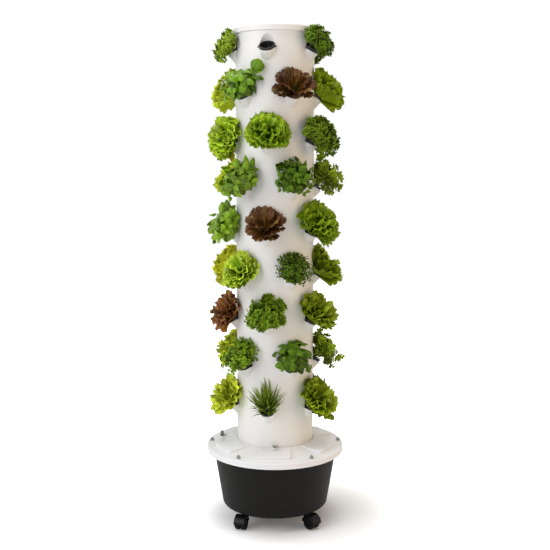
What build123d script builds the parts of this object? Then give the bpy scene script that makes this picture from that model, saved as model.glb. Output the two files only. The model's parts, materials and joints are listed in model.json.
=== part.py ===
from build123d import *
import os
from math import cos, radians, sin, tan

os.makedirs("parts", exist_ok=True)

# Hydroponic tower on casters, in millimetres. +Z is up, the front is -Y,
# and the origin is on the floor under the column's axis.

# Clearances between separate pieces
SEAT_GAP = 0.2  # a loose piece above its seat
LIFT_FIT = 0.5  # around pieces that lift apart by hand
RUNNING_FIT = 0.05  # around turning pins and shafts
FIXED_FIT = 0.02  # around pins and pipes that are pushed home
SOCKET_GAP = 1.2  # shadow gap around the column's foot

# Casters: each trails its wheels at its own angle about the stem
CASTER_INSET = 31  # stems inside the tub's bottom edge
CASTER_PLACES = (-135, -45, 45, 135)  # around the base, degrees from +X
CASTER_TRAIL_ANGLES = (-109, -45, 62, 160)  # direction of the wheels, degrees from +X
CASTER_HEIGHT = 52
CASTER_TRAIL = 26
CASTER_BOSS_RADIUS = 9
CASTER_BOSS_HEIGHT = 14
STEM_RADIUS = 5.5
STEM_LENGTH = 28  # inside the tub's socket
STEM_GRIP = 10  # inside the yoke's boss
AXLE_RADIUS = 3
AXLE_END_DEPTH = 4  # the axle stops this far inside the wheel's outer face
WHEEL_RADIUS = 22
WHEEL_WIDTH = 13
WHEEL_EDGE_RADIUS = 4
WHEEL_DISH_RADIUS = 15
WHEEL_DISH_DEPTH = 2.5
WHEEL_HUB_RADIUS = 8
WHEEL_SIDE_GAP = 0.8
YOKE_WEB = 7
YOKE_HUB_RADIUS = 8
HOOD_GAP = 2
HOOD_WALL = 2.5

# Reservoir tub
TUB_HEIGHT = 197
TUB_BOTTOM_RADIUS = 173
TUB_TOP_RADIUS = 206
TUB_WALL = 4
TUB_CORNER_RADIUS = 11
TUB_FLANGE_WIDTH = 13.5
TUB_FLANGE_THICKNESS = 5
SOCKET_WALL = 5

# Reservoir lid: a rim, a deck that rises to the column, raised panels, a socket with a drain tray
LID_OVERHANG = 6  # lid beyond the tub's flange
LID_SKIRT_HEIGHT = 19
LID_WALL = 4
LID_EDGE_RADIUS = 3
LID_RIM_WIDTH = 12
LID_RISE = 20
LID_SEAT_OVERHANG = 6
COLUMN_SOCKET_DEPTH = 10
TRAY_THICKNESS = 4
TRAY_SEAT_WIDTH = 8
DRAIN_HOLES = 12
DRAIN_HOLE_RADIUS = 6
DRAIN_CIRCLE_RADIUS = 66
RISER_GUIDE_LENGTH = 12
RISER_GUIDE_WALL = 4
PANELS = 6
PANEL_WIDTH = 100
PANEL_INSET = 28.5  # outer end of a panel inside the lid's edge
PANEL_HEIGHT = 8  # outer end of a panel above the deck
PANEL_ROOT = 3  # panels are sunk this far into the deck
PANEL_CORNER_RADIUS = 9
PANEL_EDGE_RADIUS = 2
HATCH_PANEL = 3  # counted from the front panel towards +X
HATCH_SETBACK = 9  # the hatch cover stops short of the socket
HATCH_HOLE_SIDE = 14  # cover beyond the filling hole's sides
HATCH_HOLE_END = 11.9  # and beyond its ends
HATCH_NOTCH_RADIUS = 9
HATCH_LIP = 3  # rim below the cover that drops into the filling hole

# Bolts that hold the lid on the tub's flange
LID_BOLTS = 6
LID_BOLT_RADIUS = 3
LID_BOLT_FIRST = 33  # angle from the front, on both sides
LID_BOLT_STEP = 60
LID_BOLT_HEAD_RADIUS = 5.5
LID_BOLT_HEAD_HEIGHT = 4
LID_NUT_ACROSS_CORNERS = 11.5
LID_NUT_HEIGHT = 5
LID_NUT_FLANGE_RADIUS = 6.5
LID_NUT_FLANGE_HEIGHT = 1.5
LID_NUT_SEAT_MARGIN = 1
LID_BOLT_TIP = 4  # thread showing above the nut

# Clamp screw that holds the column's foot lug
CLAMP_OFFSET = 13  # screw from the column's surface
CLAMP_SCREW_RADIUS = 3.5
CLAMP_COLLAR_RADIUS = 6
CLAMP_COLLAR_HEIGHT = 2
CLAMP_STEM_HEIGHT = 2
CLAMP_BAR_LENGTH = 20
CLAMP_BAR_THICKNESS = 4
CLAMP_DEPTH = 14  # below the lug's top
LUG_WIDTH = 18
LUG_THICKNESS = 3
LUG_END_RADIUS = 8.5
LUG_RISE = 0.8  # lug above the deck's top

# Cable gland for the pump's lead
GLAND_ANGLE = 169.6  # degrees from +X
GLAND_INSET = 43.5  # inside the lid's edge
GLAND_BOSS_HEIGHT = 2
GLAND_BODY_RADIUS = 6.5
GLAND_BODY_HEIGHT = 10
GLAND_BODY_DEPTH = 16
GLAND_THREAD_RADIUS = 4.5
GLAND_NECK = 2  # thread showing below the nut
GLAND_NUT_RADIUS = 5.5
GLAND_NUT_HEIGHT = 11
GLAND_LEAD_RADIUS = 2.5
GLAND_SEAT_MARGIN = 2

# Column of tier rings
COLUMN_RADIUS = 125
COLUMN_WALL = 3.5
TIERS = 9
TIER_PITCH = 142
FOOT_RING_HEIGHT = 130
COLLAR_HEIGHT = 61
POCKETS = 5
COLUMN_TURN = -101  # first pocket of the odd tiers, degrees from +X
TONGUE_HEIGHT = 10
TONGUE_WALL = 2.5
TONGUE_ROOT = 8

# Pockets: sleeves for the net cups, leaning outwards, under an arched niche
POCKET_TILT = 34
POCKET_SETOUT = 2  # rim centre outside the wall's surface
POCKET_LIP_WALL = 2.8
POCKET_LIP_BAND = 6
POCKET_LIP_STEP = 1
POCKET_TAPER = 9
POCKET_DEPTH = 38
POCKET_OVERRUN = 1  # the cup's cavity runs this far past the sleeve's end
NICHE_WALL = 3

# Net cups
CUP_RIM_RADIUS = 24.5
CUP_RIM_HEIGHT = 8  # rim above the pocket's lip
CUP_RIM_BAND = 3
CUP_RIM_ROLL = 1
CUP_DEPTH = 45  # below the pocket's lip
CUP_TAPER = 7
CUP_WALL = 1.6
CUP_SLOTS = 6
CUP_SLOT_WIDTH = 4
CUP_SLOT_MARGIN = 6
CUP_EAR_REACH = 29
CUP_EAR_WIDTH = 8
CUP_EAR_THICKNESS = 2.2

# Growing plugs and plants, measured along the pocket's axis from its lip
PLUG_TOP = 2
PLUG_DEPTH = 36
PLUG_FIT = 0.3
PLANT_STEM_RADIUS = 8
PLANT_WALL_GAP = 2
PLANT_RIM_GAP = 1.5
# Middle points of a crown's two arcs, as shares of its radius and of each arc's rise
CROWN_SHOULDER = 0.72
CROWN_FLARE = 0.44
CROWN_DOME = 0.78
# Habit of each kind: widest radius, height of the widest part, top
ROSETTE = (66, 42, 86)
LEAFY_HERB = (57, 48, 86)
FINE_HERB = (58, 46, 82)
BLADES = (58, 72, 104)
YOUNG_HERB = (54, 38, 74)
# Kinds by tier, from the pocket nearest the front towards +X; None is the empty cup
CROP = (
    (None, YOUNG_HERB, YOUNG_HERB, YOUNG_HERB, YOUNG_HERB),
    (ROSETTE, ROSETTE, FINE_HERB, ROSETTE, LEAFY_HERB),
    (ROSETTE, FINE_HERB, LEAFY_HERB, ROSETTE, ROSETTE),
    (LEAFY_HERB, FINE_HERB, ROSETTE, ROSETTE, LEAFY_HERB),
    (ROSETTE, ROSETTE, FINE_HERB, ROSETTE, LEAFY_HERB),
    (FINE_HERB, ROSETTE, ROSETTE, ROSETTE, ROSETTE),
    (FINE_HERB, ROSETTE, LEAFY_HERB, BLADES, ROSETTE),
    (LEAFY_HERB, FINE_HERB, ROSETTE, ROSETTE, FINE_HERB),
    (BLADES, ROSETTE, FINE_HERB, ROSETTE, ROSETTE),
)

# Cap and the dish below it
CAP_OVERHANG = 6.5
CAP_SKIRT_DROP = 9  # skirt below the collar's top
CAP_CROWN = 9.8  # cap above the collar's top
CAP_PLATE = 4
CAP_BEVEL = 4
CAP_SEAT_WIDTH = 6
DISH_LEDGE_DROP = 18  # ledge below the collar's top
DISH_LEDGE_WIDTH = 8
DISH_LEDGE_THICKNESS = 3
DISH_FLOOR = 2.5
DISH_RIM_HEIGHT = 9
DISH_WALL = 2.5
DISH_HOLES = 20
DISH_HOLE_RADIUS = 2
DISH_HOLE_CIRCLE = 88
DISH_HUB_WALL = 4
DISH_HUB_DROP = 14

# Riser pipe in lengths, with couplings
RISER_RADIUS = 10
RISER_WALL = 2
RISER_LENGTHS = 3
RISER_SPOUT = 6  # pipe end above the dish's floor
COUPLING_WALL = 3
COUPLING_LENGTH = 44

# Submersible pump on the tub's floor; the rotor's axis runs along X
PUMP_WIDTH = 56
PUMP_HEIGHT = 54
PUMP_MOTOR_LENGTH = 58
PUMP_COVER_LENGTH = 30
PUMP_CORNER_RADIUS = 8
PUMP_OUTLET_FROM_COVER = 12  # outlet's axis from the motor's face
PUMP_CHAMBER_RADIUS = 20
PUMP_CHAMBER_DEPTH = 17
PUMP_WELL_RADIUS = 13.5
PUMP_WELL_DEPTH = 46
PUMP_INTAKE_HOLES = 6
PUMP_INTAKE_RADIUS = 3.5
PUMP_INTAKE_CIRCLE = 12
PUMP_NOZZLE_RADIUS = 9
PUMP_NOZZLE_BORE = 6
PUMP_NOZZLE_HEIGHT = 20
ROTOR_SHAFT_RADIUS = 2
ROTOR_SHAFT_SEAT = 5
ROTOR_MAGNET_RADIUS = 12.5
ROTOR_MAGNET_LENGTH = 40
IMPELLER_RADIUS = 18
IMPELLER_DISC = 2
IMPELLER_BLADES = 6
IMPELLER_BLADE_HEIGHT = 9
IMPELLER_BLADE_THICKNESS = 1.6
IMPELLER_SIDE_GAP = 2
PUMP_FOOT_RADIUS = 8
PUMP_FOOT_HEIGHT = 8
PUMP_FOOT_INSET = 12
ADAPTER_WALL = 3
ADAPTER_GRIP = 18

# Heights that follow from the sizes above
tub_top = CASTER_HEIGHT + TUB_HEIGHT
tub_floor = CASTER_HEIGHT + TUB_WALL
lid_rim = tub_top + LID_WALL
deck_top = lid_rim + LID_RISE
socket_floor = deck_top - COLUMN_SOCKET_DEPTH
tray_seat = socket_floor - TRAY_THICKNESS
lowest_seam = socket_floor + FOOT_RING_HEIGHT
top_seam = lowest_seam + (TIERS - 1) * TIER_PITCH
collar_top = top_seam + COLLAR_HEIGHT

# Radii that follow
flange_radius = TUB_TOP_RADIUS + TUB_FLANGE_WIDTH
lid_radius = flange_radius + LID_OVERHANG
bolt_circle = TUB_TOP_RADIUS + LID_BOLT_HEAD_RADIUS
panel_reach = lid_radius - PANEL_INSET
gland_radius = lid_radius - GLAND_INSET
clamp_radius = COLUMN_RADIUS + CLAMP_OFFSET
column_bore = COLUMN_RADIUS - COLUMN_WALL
socket_radius = COLUMN_RADIUS + SOCKET_GAP
cap_radius = COLUMN_RADIUS + CAP_OVERHANG
pocket_radius = COLUMN_RADIUS + POCKET_SETOUT
cup_lip_radius = CUP_RIM_RADIUS - CUP_RIM_ROLL - CUP_RIM_HEIGHT * tan(radians(CUP_TAPER))
cavity_radius = cup_lip_radius + LIFT_FIT
lip_radius = cavity_radius + POCKET_LIP_WALL
niche_radius = CUP_RIM_RADIUS + LIFT_FIT
riser_bore = RISER_RADIUS + FIXED_FIT

# Slope of the lid's deck from the rim up to the socket
deck_foot = lid_radius - LID_RIM_WIDTH
deck_slope = LID_RISE / (deck_foot - socket_radius)


def deck_height(radius):
    return lid_rim + (deck_foot - radius) * deck_slope


def save(part, name):
    part.label = name
    export_step(part, f"parts/{name}.step")


def revolved(points):
    """Solid of revolution about Z from (radius, height) corners."""
    with BuildPart() as body:
        with BuildSketch(Plane.XZ):
            with BuildLine():
                Polyline(*points, close=True)
            make_face()
        revolve(axis=Axis.Z)
    return body.part


def placed(part, locations):
    """Copies of a part at the given locations, as one group."""
    with BuildPart() as group:
        with Locations(*locations):
            add(part)
    return group.part


def tier_turn(tier):
    """Angle of a tier's first pocket: even tiers are turned by half a step."""
    half_step = 180 / POCKETS
    return COLUMN_TURN + (half_step if tier % 2 == 0 else 0)


def tier_seam(tier):
    return top_seam - (tier - 1) * TIER_PITCH


def pocket_locations(height, turn):
    """Frames at the pocket rims: Z along the leaning axis, X outwards, Y sideways."""
    lean = radians(POCKET_TILT)
    frames = []
    for index in range(POCKETS):
        angle = turn + index * 360 / POCKETS
        outward = Vector(1, 0, 0).rotate(Axis.Z, angle)
        up = Vector(0, 0, 1)
        frame = Plane(
            origin=outward * pocket_radius + up * height,
            x_dir=outward * cos(lean) - up * sin(lean),
            z_dir=outward * sin(lean) + up * cos(lean),
        )
        frames.append(frame.location)
    return frames


# Places of the lid's bolts, between its raised panels
bolt_angles = [
    -90 + side * (LID_BOLT_FIRST + step * LID_BOLT_STEP) for side in (-1, 1) for step in range(LID_BOLTS // 2)
]
bolt_places = [Location(Vector(bolt_circle, 0, 0).rotate(Axis.Z, angle)) for angle in bolt_angles]

# Reservoir tub: a tapered shell with a flange and four stem sockets
tub_slope = (TUB_TOP_RADIUS - TUB_BOTTOM_RADIUS) / TUB_HEIGHT
socket_top = CASTER_HEIGHT + STEM_LENGTH + TUB_WALL
caster_spots = [
    Vector(TUB_BOTTOM_RADIUS - CASTER_INSET, 0, 0).rotate(Axis.Z, angle) for angle in CASTER_PLACES
]
with BuildPart() as tub:
    with BuildSketch(Plane.XZ):
        with BuildLine():
            Polyline(
                (0, CASTER_HEIGHT),
                (TUB_BOTTOM_RADIUS, CASTER_HEIGHT),
                (TUB_TOP_RADIUS - tub_slope * TUB_FLANGE_THICKNESS, tub_top - TUB_FLANGE_THICKNESS),
                (flange_radius, tub_top - TUB_FLANGE_THICKNESS),
                (flange_radius, tub_top),
                (TUB_TOP_RADIUS - TUB_WALL, tub_top),
                (TUB_BOTTOM_RADIUS - TUB_WALL, tub_floor),
                (0, tub_floor),
                close=True,
            )
        make_face()
    revolve(axis=Axis.Z)
    fillet(tub.edges().group_by(Axis.Z)[0], TUB_CORNER_RADIUS)
    floor_edges = tub.edges().filter_by(lambda edge: abs(edge.center().Z - tub_floor) < 0.01)
    fillet(floor_edges, TUB_CORNER_RADIUS - TUB_WALL)
    with Locations(*[(spot.X, spot.Y, tub_floor - TUB_WALL / 2) for spot in caster_spots]):
        Cylinder(
            STEM_RADIUS + SOCKET_WALL,
            socket_top - tub_floor + TUB_WALL / 2,
            align=(Align.CENTER, Align.CENTER, Align.MIN),
        )
    with Locations(*[(spot.X, spot.Y, CASTER_HEIGHT) for spot in caster_spots]):
        Cylinder(
            STEM_RADIUS + RUNNING_FIT,
            STEM_LENGTH + SEAT_GAP,
            align=(Align.CENTER, Align.CENTER, Align.MIN),
            mode=Mode.SUBTRACT,
        )
    with Locations((0, 0, tub_top)):
        with Locations(*bolt_places):
            Cylinder(LID_BOLT_RADIUS + LIFT_FIT, 4 * TUB_FLANGE_THICKNESS, mode=Mode.SUBTRACT)
save(tub.part, "reservoir_tub")

# Lid: moulded shell with skirt, rising deck and the column's socket, open below
seat_inner = TUB_TOP_RADIUS - TUB_WALL - LID_SEAT_OVERHANG
socket_outer = socket_radius + LID_WALL
seat_edge = socket_radius - TRAY_SEAT_WIDTH
lid_shell = revolved(
    [
        (lid_radius, lid_rim - LID_SKIRT_HEIGHT),
        (lid_radius, lid_rim),
        (deck_foot, lid_rim),
        (socket_radius, deck_top),
        (socket_radius, tray_seat),
        (seat_edge, tray_seat),
        (seat_edge, tray_seat - LID_WALL),
        (socket_outer, tray_seat - LID_WALL),
        (socket_outer, deck_height(socket_outer) - LID_WALL),
        (seat_inner, deck_height(seat_inner) - LID_WALL),
        (seat_inner, tub_top),
        (lid_radius - LID_WALL, tub_top),
        (lid_radius - LID_WALL, lid_rim - LID_SKIRT_HEIGHT),
    ]
)


def panel_wedge(inner):
    """Raised panel along +X: flush with the deck at the socket, proud of it at its outer end."""
    end = deck_height(panel_reach)
    with BuildPart() as wedge:
        with BuildSketch(Plane.XZ):
            with BuildLine():
                Polyline(
                    (inner, deck_height(inner) - PANEL_ROOT),
                    (inner, deck_top - (inner - socket_radius) * panel_slope),
                    (panel_reach, end + PANEL_HEIGHT),
                    (panel_reach, end - PANEL_ROOT),
                    close=True,
                )
            make_face()
        extrude(amount=PANEL_WIDTH / 2, both=True)
        upright = wedge.edges().filter_by(Axis.Z).group_by(Axis.X)[-1]
        fillet(upright, PANEL_CORNER_RADIUS)
        top = wedge.faces().sort_by(lambda face: face.normal_at().Z)[-1]
        outer_edges = [edge for edge in top.edges() if edge.center().X > inner + PANEL_EDGE_RADIUS]
        fillet(outer_edges, PANEL_EDGE_RADIUS)
    return wedge.part


panel_slope = (deck_top - deck_height(panel_reach) - PANEL_HEIGHT) / (panel_reach - socket_radius)
panel_turns = [-90 + index * 360 / PANELS for index in range(PANELS)]
hatch_turn = panel_turns[HATCH_PANEL]
fixed_panels = [Location((0, 0, 0), (0, 0, turn)) for turn in panel_turns if turn != hatch_turn]
panel = panel_wedge(socket_radius - COLUMN_WALL)
hatch_middle = (socket_radius + HATCH_SETBACK + panel_reach) / 2
hatch_place = Location((0, 0, 0), (0, 0, hatch_turn))
hatch_hole_length = panel_reach - socket_radius - HATCH_SETBACK - 2 * HATCH_HOLE_END
hatch_hole_width = PANEL_WIDTH - 2 * HATCH_HOLE_SIDE
with BuildPart() as hatch_hole:
    with Locations((hatch_middle, 0, deck_height(hatch_middle))):
        Box(hatch_hole_length, hatch_hole_width, 6 * LID_WALL)
gland_spot = Vector(gland_radius, 0, 0).rotate(Axis.Z, GLAND_ANGLE)
gland_seat = deck_height(gland_radius - GLAND_BODY_RADIUS) + GLAND_BOSS_HEIGHT
bolt_seat = deck_height(bolt_circle - LID_NUT_FLANGE_RADIUS)
with BuildPart() as lid:
    add(lid_shell)
    outer_edges = lid.edges().filter_by(GeomType.CIRCLE).group_by(SortBy.RADIUS)[-1]
    fillet(outer_edges.sort_by(Axis.Z)[-1], LID_EDGE_RADIUS)
    with Locations(*fixed_panels):
        add(panel)
    # Flat seats for the nuts and the gland
    with Locations((0, 0, tub_top + LID_WALL / 2)):
        with Locations(*bolt_places):
            Cylinder(
                LID_NUT_FLANGE_RADIUS + LID_NUT_SEAT_MARGIN,
                bolt_seat - tub_top - LID_WALL / 2,
                align=(Align.CENTER, Align.CENTER, Align.MIN),
            )
    with Locations((gland_spot.X, gland_spot.Y, gland_seat - 2 * LID_WALL)):
        Cylinder(
            GLAND_BODY_RADIUS + GLAND_SEAT_MARGIN,
            2 * LID_WALL,
            align=(Align.CENTER, Align.CENTER, Align.MIN),
        )
    # Openings
    with Locations((0, 0, socket_floor)):
        Cylinder(
            socket_radius,
            COLUMN_SOCKET_DEPTH + PANEL_HEIGHT,
            align=(Align.CENTER, Align.CENTER, Align.MIN),
            mode=Mode.SUBTRACT,
        )
    with Locations((0, 0, tub_top)):
        with Locations(*bolt_places):
            Cylinder(LID_BOLT_RADIUS + LIFT_FIT, 8 * LID_WALL, mode=Mode.SUBTRACT)
    with Locations((gland_spot.X, gland_spot.Y, gland_seat)):
        Cylinder(GLAND_THREAD_RADIUS + LIFT_FIT, 8 * LID_WALL, mode=Mode.SUBTRACT)
    with Locations((0, -clamp_radius, deck_top)):
        Cylinder(CLAMP_SCREW_RADIUS + RUNNING_FIT, 8 * LID_WALL, mode=Mode.SUBTRACT)
    with Locations(hatch_place):
        add(hatch_hole.part, mode=Mode.SUBTRACT)
save(lid.part, "reservoir_lid")

# Drain tray in the socket: the column stands on it, and its guide centres the riser
guide_bore = RISER_RADIUS + LIFT_FIT
guide_outer = guide_bore + RISER_GUIDE_WALL
tray_shell = revolved(
    [
        (guide_bore, socket_floor),
        (socket_radius - LIFT_FIT, socket_floor),
        (socket_radius - LIFT_FIT, tray_seat),
        (guide_outer, tray_seat),
        (guide_outer, tray_seat - RISER_GUIDE_LENGTH),
        (guide_bore, tray_seat - RISER_GUIDE_LENGTH),
    ]
)
with BuildPart() as tray:
    add(tray_shell)
    with Locations((0, 0, tray_seat)):
        with PolarLocations(DRAIN_CIRCLE_RADIUS, DRAIN_HOLES):
            Cylinder(DRAIN_HOLE_RADIUS, 4 * TRAY_THICKNESS, mode=Mode.SUBTRACT)
save(tray.part, "drain_tray")

# Hatch cover: a panel that follows the deck, with a rim that drops into the filling hole
hatch_rim_length = hatch_hole_length - 2 * LIFT_FIT
hatch_rim_width = hatch_hole_width - 2 * LIFT_FIT
with BuildPart() as hatch:
    add(panel_wedge(socket_radius + HATCH_SETBACK))
    with Locations((0, 0, SEAT_GAP)):
        add(lid_shell, mode=Mode.SUBTRACT)
    with BuildSketch(Plane.XY.offset(deck_height(hatch_middle) - LID_WALL)):
        with Locations((hatch_middle, 0)):
            Rectangle(hatch_rim_length, hatch_rim_width)
            Rectangle(hatch_rim_length - 2 * HATCH_LIP, hatch_rim_width - 2 * HATCH_LIP, mode=Mode.SUBTRACT)
    extrude(amount=LID_WALL + PANEL_HEIGHT / 2)
    with Locations((panel_reach + HATCH_NOTCH_RADIUS / 2, 0, deck_height(panel_reach))):
        Cylinder(HATCH_NOTCH_RADIUS, 4 * PANEL_HEIGHT, mode=Mode.SUBTRACT)
save(placed(hatch.part, [hatch_place]), "fill_hatch")

# Bolts from under the tub's flange, and flanged nuts on the lid
flange_under = tub_top - TUB_FLANGE_THICKNESS
nut_top = bolt_seat + LID_NUT_FLANGE_HEIGHT + LID_NUT_HEIGHT
bolt = revolved(
    [
        (0, flange_under - LID_BOLT_HEAD_HEIGHT),
        (LID_BOLT_HEAD_RADIUS, flange_under - LID_BOLT_HEAD_HEIGHT),
        (LID_BOLT_HEAD_RADIUS, flange_under),
        (LID_BOLT_RADIUS, flange_under),
        (LID_BOLT_RADIUS, nut_top + LID_BOLT_TIP),
        (0, nut_top + LID_BOLT_TIP),
    ]
)
save(placed(bolt, bolt_places), "lid_bolts")
with BuildPart() as nut:
    with BuildSketch(Plane.XY.offset(bolt_seat)):
        Circle(LID_NUT_FLANGE_RADIUS)
    extrude(amount=LID_NUT_FLANGE_HEIGHT)
    with BuildSketch(Plane.XY.offset(bolt_seat + LID_NUT_FLANGE_HEIGHT)):
        RegularPolygon(LID_NUT_ACROSS_CORNERS / 2, 6)
    extrude(amount=LID_NUT_HEIGHT)
    with Locations((0, 0, bolt_seat)):
        Cylinder(LID_BOLT_RADIUS + FIXED_FIT, 4 * LID_NUT_HEIGHT, mode=Mode.SUBTRACT)
save(placed(nut.part, bolt_places), "lid_nuts")

# Cable gland: hexagonal body through the lid, and its dome nut; the lead's bore runs through both
gland_place = Location((gland_spot.X, gland_spot.Y, gland_seat))
with BuildPart() as gland_body:
    with BuildSketch():
        RegularPolygon(GLAND_BODY_RADIUS, 6)
    extrude(amount=GLAND_BODY_HEIGHT / 2)
    with BuildSketch(Plane.XY.offset(-GLAND_BODY_DEPTH)):
        Circle(GLAND_THREAD_RADIUS)
    extrude(amount=GLAND_BODY_DEPTH + GLAND_BODY_HEIGHT)
    Cylinder(GLAND_LEAD_RADIUS, 4 * GLAND_BODY_DEPTH, mode=Mode.SUBTRACT)
save(placed(gland_body.part, [gland_place]), "gland_body")
gland_nut_bottom = GLAND_BODY_HEIGHT / 2 + GLAND_NECK
with BuildPart() as gland_nut:
    with BuildSketch(Plane.XY.offset(gland_nut_bottom)):
        Circle(GLAND_NUT_RADIUS)
    extrude(amount=GLAND_NUT_HEIGHT)
    fillet(gland_nut.edges().group_by(Axis.Z)[-1], GLAND_NUT_RADIUS / 2)
    with BuildSketch(Plane.XY.offset(gland_nut_bottom)):
        Circle(GLAND_THREAD_RADIUS + FIXED_FIT)
    extrude(amount=GLAND_BODY_HEIGHT - gland_nut_bottom, mode=Mode.SUBTRACT)
    Cylinder(GLAND_LEAD_RADIUS, 4 * GLAND_BODY_DEPTH, mode=Mode.SUBTRACT)
save(placed(gland_nut.part, [gland_place]), "gland_nut")

# Pocket forms about their own axis, from the lip downwards
sleeve_top = lip_radius - POCKET_LIP_STEP
sleeve_end = sleeve_top - (POCKET_DEPTH - POCKET_LIP_BAND) * tan(radians(POCKET_TAPER))
cup_slope = tan(radians(CUP_TAPER))
sleeve = revolved(
    [
        (0, 0),
        (lip_radius, 0),
        (lip_radius, -POCKET_LIP_BAND),
        (sleeve_top, -POCKET_LIP_BAND),
        (sleeve_end, -POCKET_DEPTH),
        (0, -POCKET_DEPTH),
    ]
)
cavity_end = POCKET_DEPTH + POCKET_OVERRUN
cavity = revolved(
    [
        (0, CUP_RIM_HEIGHT),
        (cavity_radius, CUP_RIM_HEIGHT),
        (cavity_radius, 0),
        (cavity_radius - cavity_end * cup_slope, -cavity_end),
        (0, -cavity_end),
    ]
)
# The niche runs from well below the lip out through the wall above it
with BuildPart() as niche:
    Cylinder(niche_radius, 4 * POCKET_DEPTH)
with BuildPart() as niche_shell:
    Cylinder(niche_radius + NICHE_WALL, 4 * POCKET_DEPTH)
with BuildPart() as niche_room:
    Cylinder(niche_radius + NICHE_WALL + LIFT_FIT, 4 * POCKET_DEPTH)


def column_wall(height):
    with BuildPart() as wall:
        with BuildSketch():
            Circle(COLUMN_RADIUS)
            Circle(column_bore, mode=Mode.SUBTRACT)
        extrude(amount=height)
    return wall.part


def pocket_sleeves(height, turn):
    """Sleeves below a ring's top edge, cut level with it."""
    with BuildPart() as sleeves:
        with Locations(*pocket_locations(height, turn)):
            add(sleeve)
        Cylinder(
            2 * COLUMN_RADIUS,
            height,
            align=(Align.CENTER, Align.CENTER, Align.MIN),
            mode=Mode.INTERSECT,
        )
    return sleeves.part


def stacking_tongues(height, turn):
    """Tongues inside the top edge that centre the next ring, with room for its niches."""
    tongue_outer = column_bore - LIFT_FIT
    ring = revolved(
        [
            (tongue_outer - TONGUE_WALL, height - TONGUE_ROOT),
            (column_bore + COLUMN_WALL / 2, height - TONGUE_ROOT),
            (column_bore + COLUMN_WALL / 2, height),
            (tongue_outer, height),
            (tongue_outer, height + TONGUE_HEIGHT),
            (tongue_outer - TONGUE_WALL, height + TONGUE_HEIGHT),
        ]
    )
    with BuildPart() as tongues:
        add(ring)
        with Locations(*pocket_locations(height, turn)):
            add(niche_room.part, mode=Mode.SUBTRACT)
    return tongues.part


def niche_walls(height, turn):
    """Back walls of the niches above a ring's lower edge, inside the column."""
    with BuildPart() as walls:
        with Locations(*pocket_locations(0, turn)):
            add(niche_shell.part)
        Cylinder(
            COLUMN_RADIUS - COLUMN_WALL / 2,
            height,
            align=(Align.CENTER, Align.CENTER, Align.MIN),
            mode=Mode.INTERSECT,
        )
    return walls.part


def column_ring(height, turn, has_pockets, has_niches):
    """Ring of the column: pockets at its top edge, niches of the tier below at its lower edge."""
    half_step = 180 / POCKETS
    pieces = [column_wall(height)]
    if has_pockets:
        pieces.append(pocket_sleeves(height, turn))
        pieces.append(stacking_tongues(height, turn))
    if has_niches:
        pieces.append(niche_walls(height, turn + half_step))
    with BuildPart() as ring:
        for piece in pieces:
            add(piece)
        if has_pockets:
            with Locations(*pocket_locations(height, turn)):
                add(cavity, mode=Mode.SUBTRACT)
        if has_niches:
            with Locations(*pocket_locations(0, turn + half_step)):
                add(niche.part, mode=Mode.SUBTRACT)
    return ring.part


# Tier rings: one moulding, turned by half a step from tier to tier
middle_ring = column_ring(TIER_PITCH, 0, True, True)
for tier in range(1, TIERS):
    ring_place = Location((0, 0, tier_seam(tier + 1)), (0, 0, tier_turn(tier)))
    save(placed(middle_ring, [ring_place]), f"tier_ring_{tier}")

# Foot ring: its lug at the front takes the clamp screw
lug_bottom = deck_top + LUG_RISE
foot_ring = column_ring(FOOT_RING_HEIGHT, tier_turn(TIERS), True, False)
lug_reach = clamp_radius + LUG_WIDTH / 2
with BuildPart() as foot:
    with Locations((0, 0, socket_floor)):
        add(foot_ring)
    with BuildSketch(Plane.XY.offset(lug_bottom)):
        with Locations((0, -lug_reach / 2)):
            Rectangle(LUG_WIDTH, lug_reach)
        Circle(column_bore + COLUMN_WALL / 2, mode=Mode.SUBTRACT)
    extrude(amount=LUG_THICKNESS)
    lug_end = foot.edges().filter_by(Axis.Z).group_by(Axis.Y)[0]
    fillet(lug_end, LUG_END_RADIUS)
    with Locations((0, -clamp_radius, lug_bottom)):
        Cylinder(CLAMP_SCREW_RADIUS + RUNNING_FIT, 4 * LUG_THICKNESS, mode=Mode.SUBTRACT)
save(foot.part, f"tier_ring_{TIERS}")

# Clamp screw with a T-shaped head
lug_top = lug_bottom + LUG_THICKNESS
bar_bottom = lug_top + SEAT_GAP + CLAMP_COLLAR_HEIGHT + CLAMP_STEM_HEIGHT
with BuildPart() as clamp:
    with BuildSketch(Plane.XY.offset(lug_top - CLAMP_DEPTH)):
        with Locations((0, -clamp_radius)):
            Circle(CLAMP_SCREW_RADIUS)
    extrude(amount=bar_bottom - lug_top + CLAMP_DEPTH)
    with BuildSketch(Plane.XY.offset(lug_top + SEAT_GAP)):
        with Locations((0, -clamp_radius)):
            Circle(CLAMP_COLLAR_RADIUS)
    extrude(amount=CLAMP_COLLAR_HEIGHT)
    with BuildSketch(Plane.XY.offset(bar_bottom)):
        with Locations((0, -clamp_radius)):
            SlotOverall(CLAMP_BAR_LENGTH, CLAMP_BAR_THICKNESS)
    extrude(amount=CLAMP_BAR_THICKNESS)
    fillet(clamp.edges().group_by(Axis.Z)[-1], CLAMP_BAR_THICKNESS / 4)
save(clamp.part, "column_clamp_screw")

# Collar above the top tier, with a ledge for the dish
ledge_top = COLLAR_HEIGHT - DISH_LEDGE_DROP
collar_ring = column_ring(COLLAR_HEIGHT, tier_turn(1) - 180 / POCKETS, False, True)
with BuildPart() as collar:
    add(collar_ring)
    with BuildSketch(Plane.XY.offset(ledge_top - DISH_LEDGE_THICKNESS)):
        Circle(column_bore + COLUMN_WALL / 2)
        Circle(column_bore - DISH_LEDGE_WIDTH, mode=Mode.SUBTRACT)
    extrude(amount=DISH_LEDGE_THICKNESS)
save(placed(collar.part, [Location((0, 0, top_seam))]), "top_collar")

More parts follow.
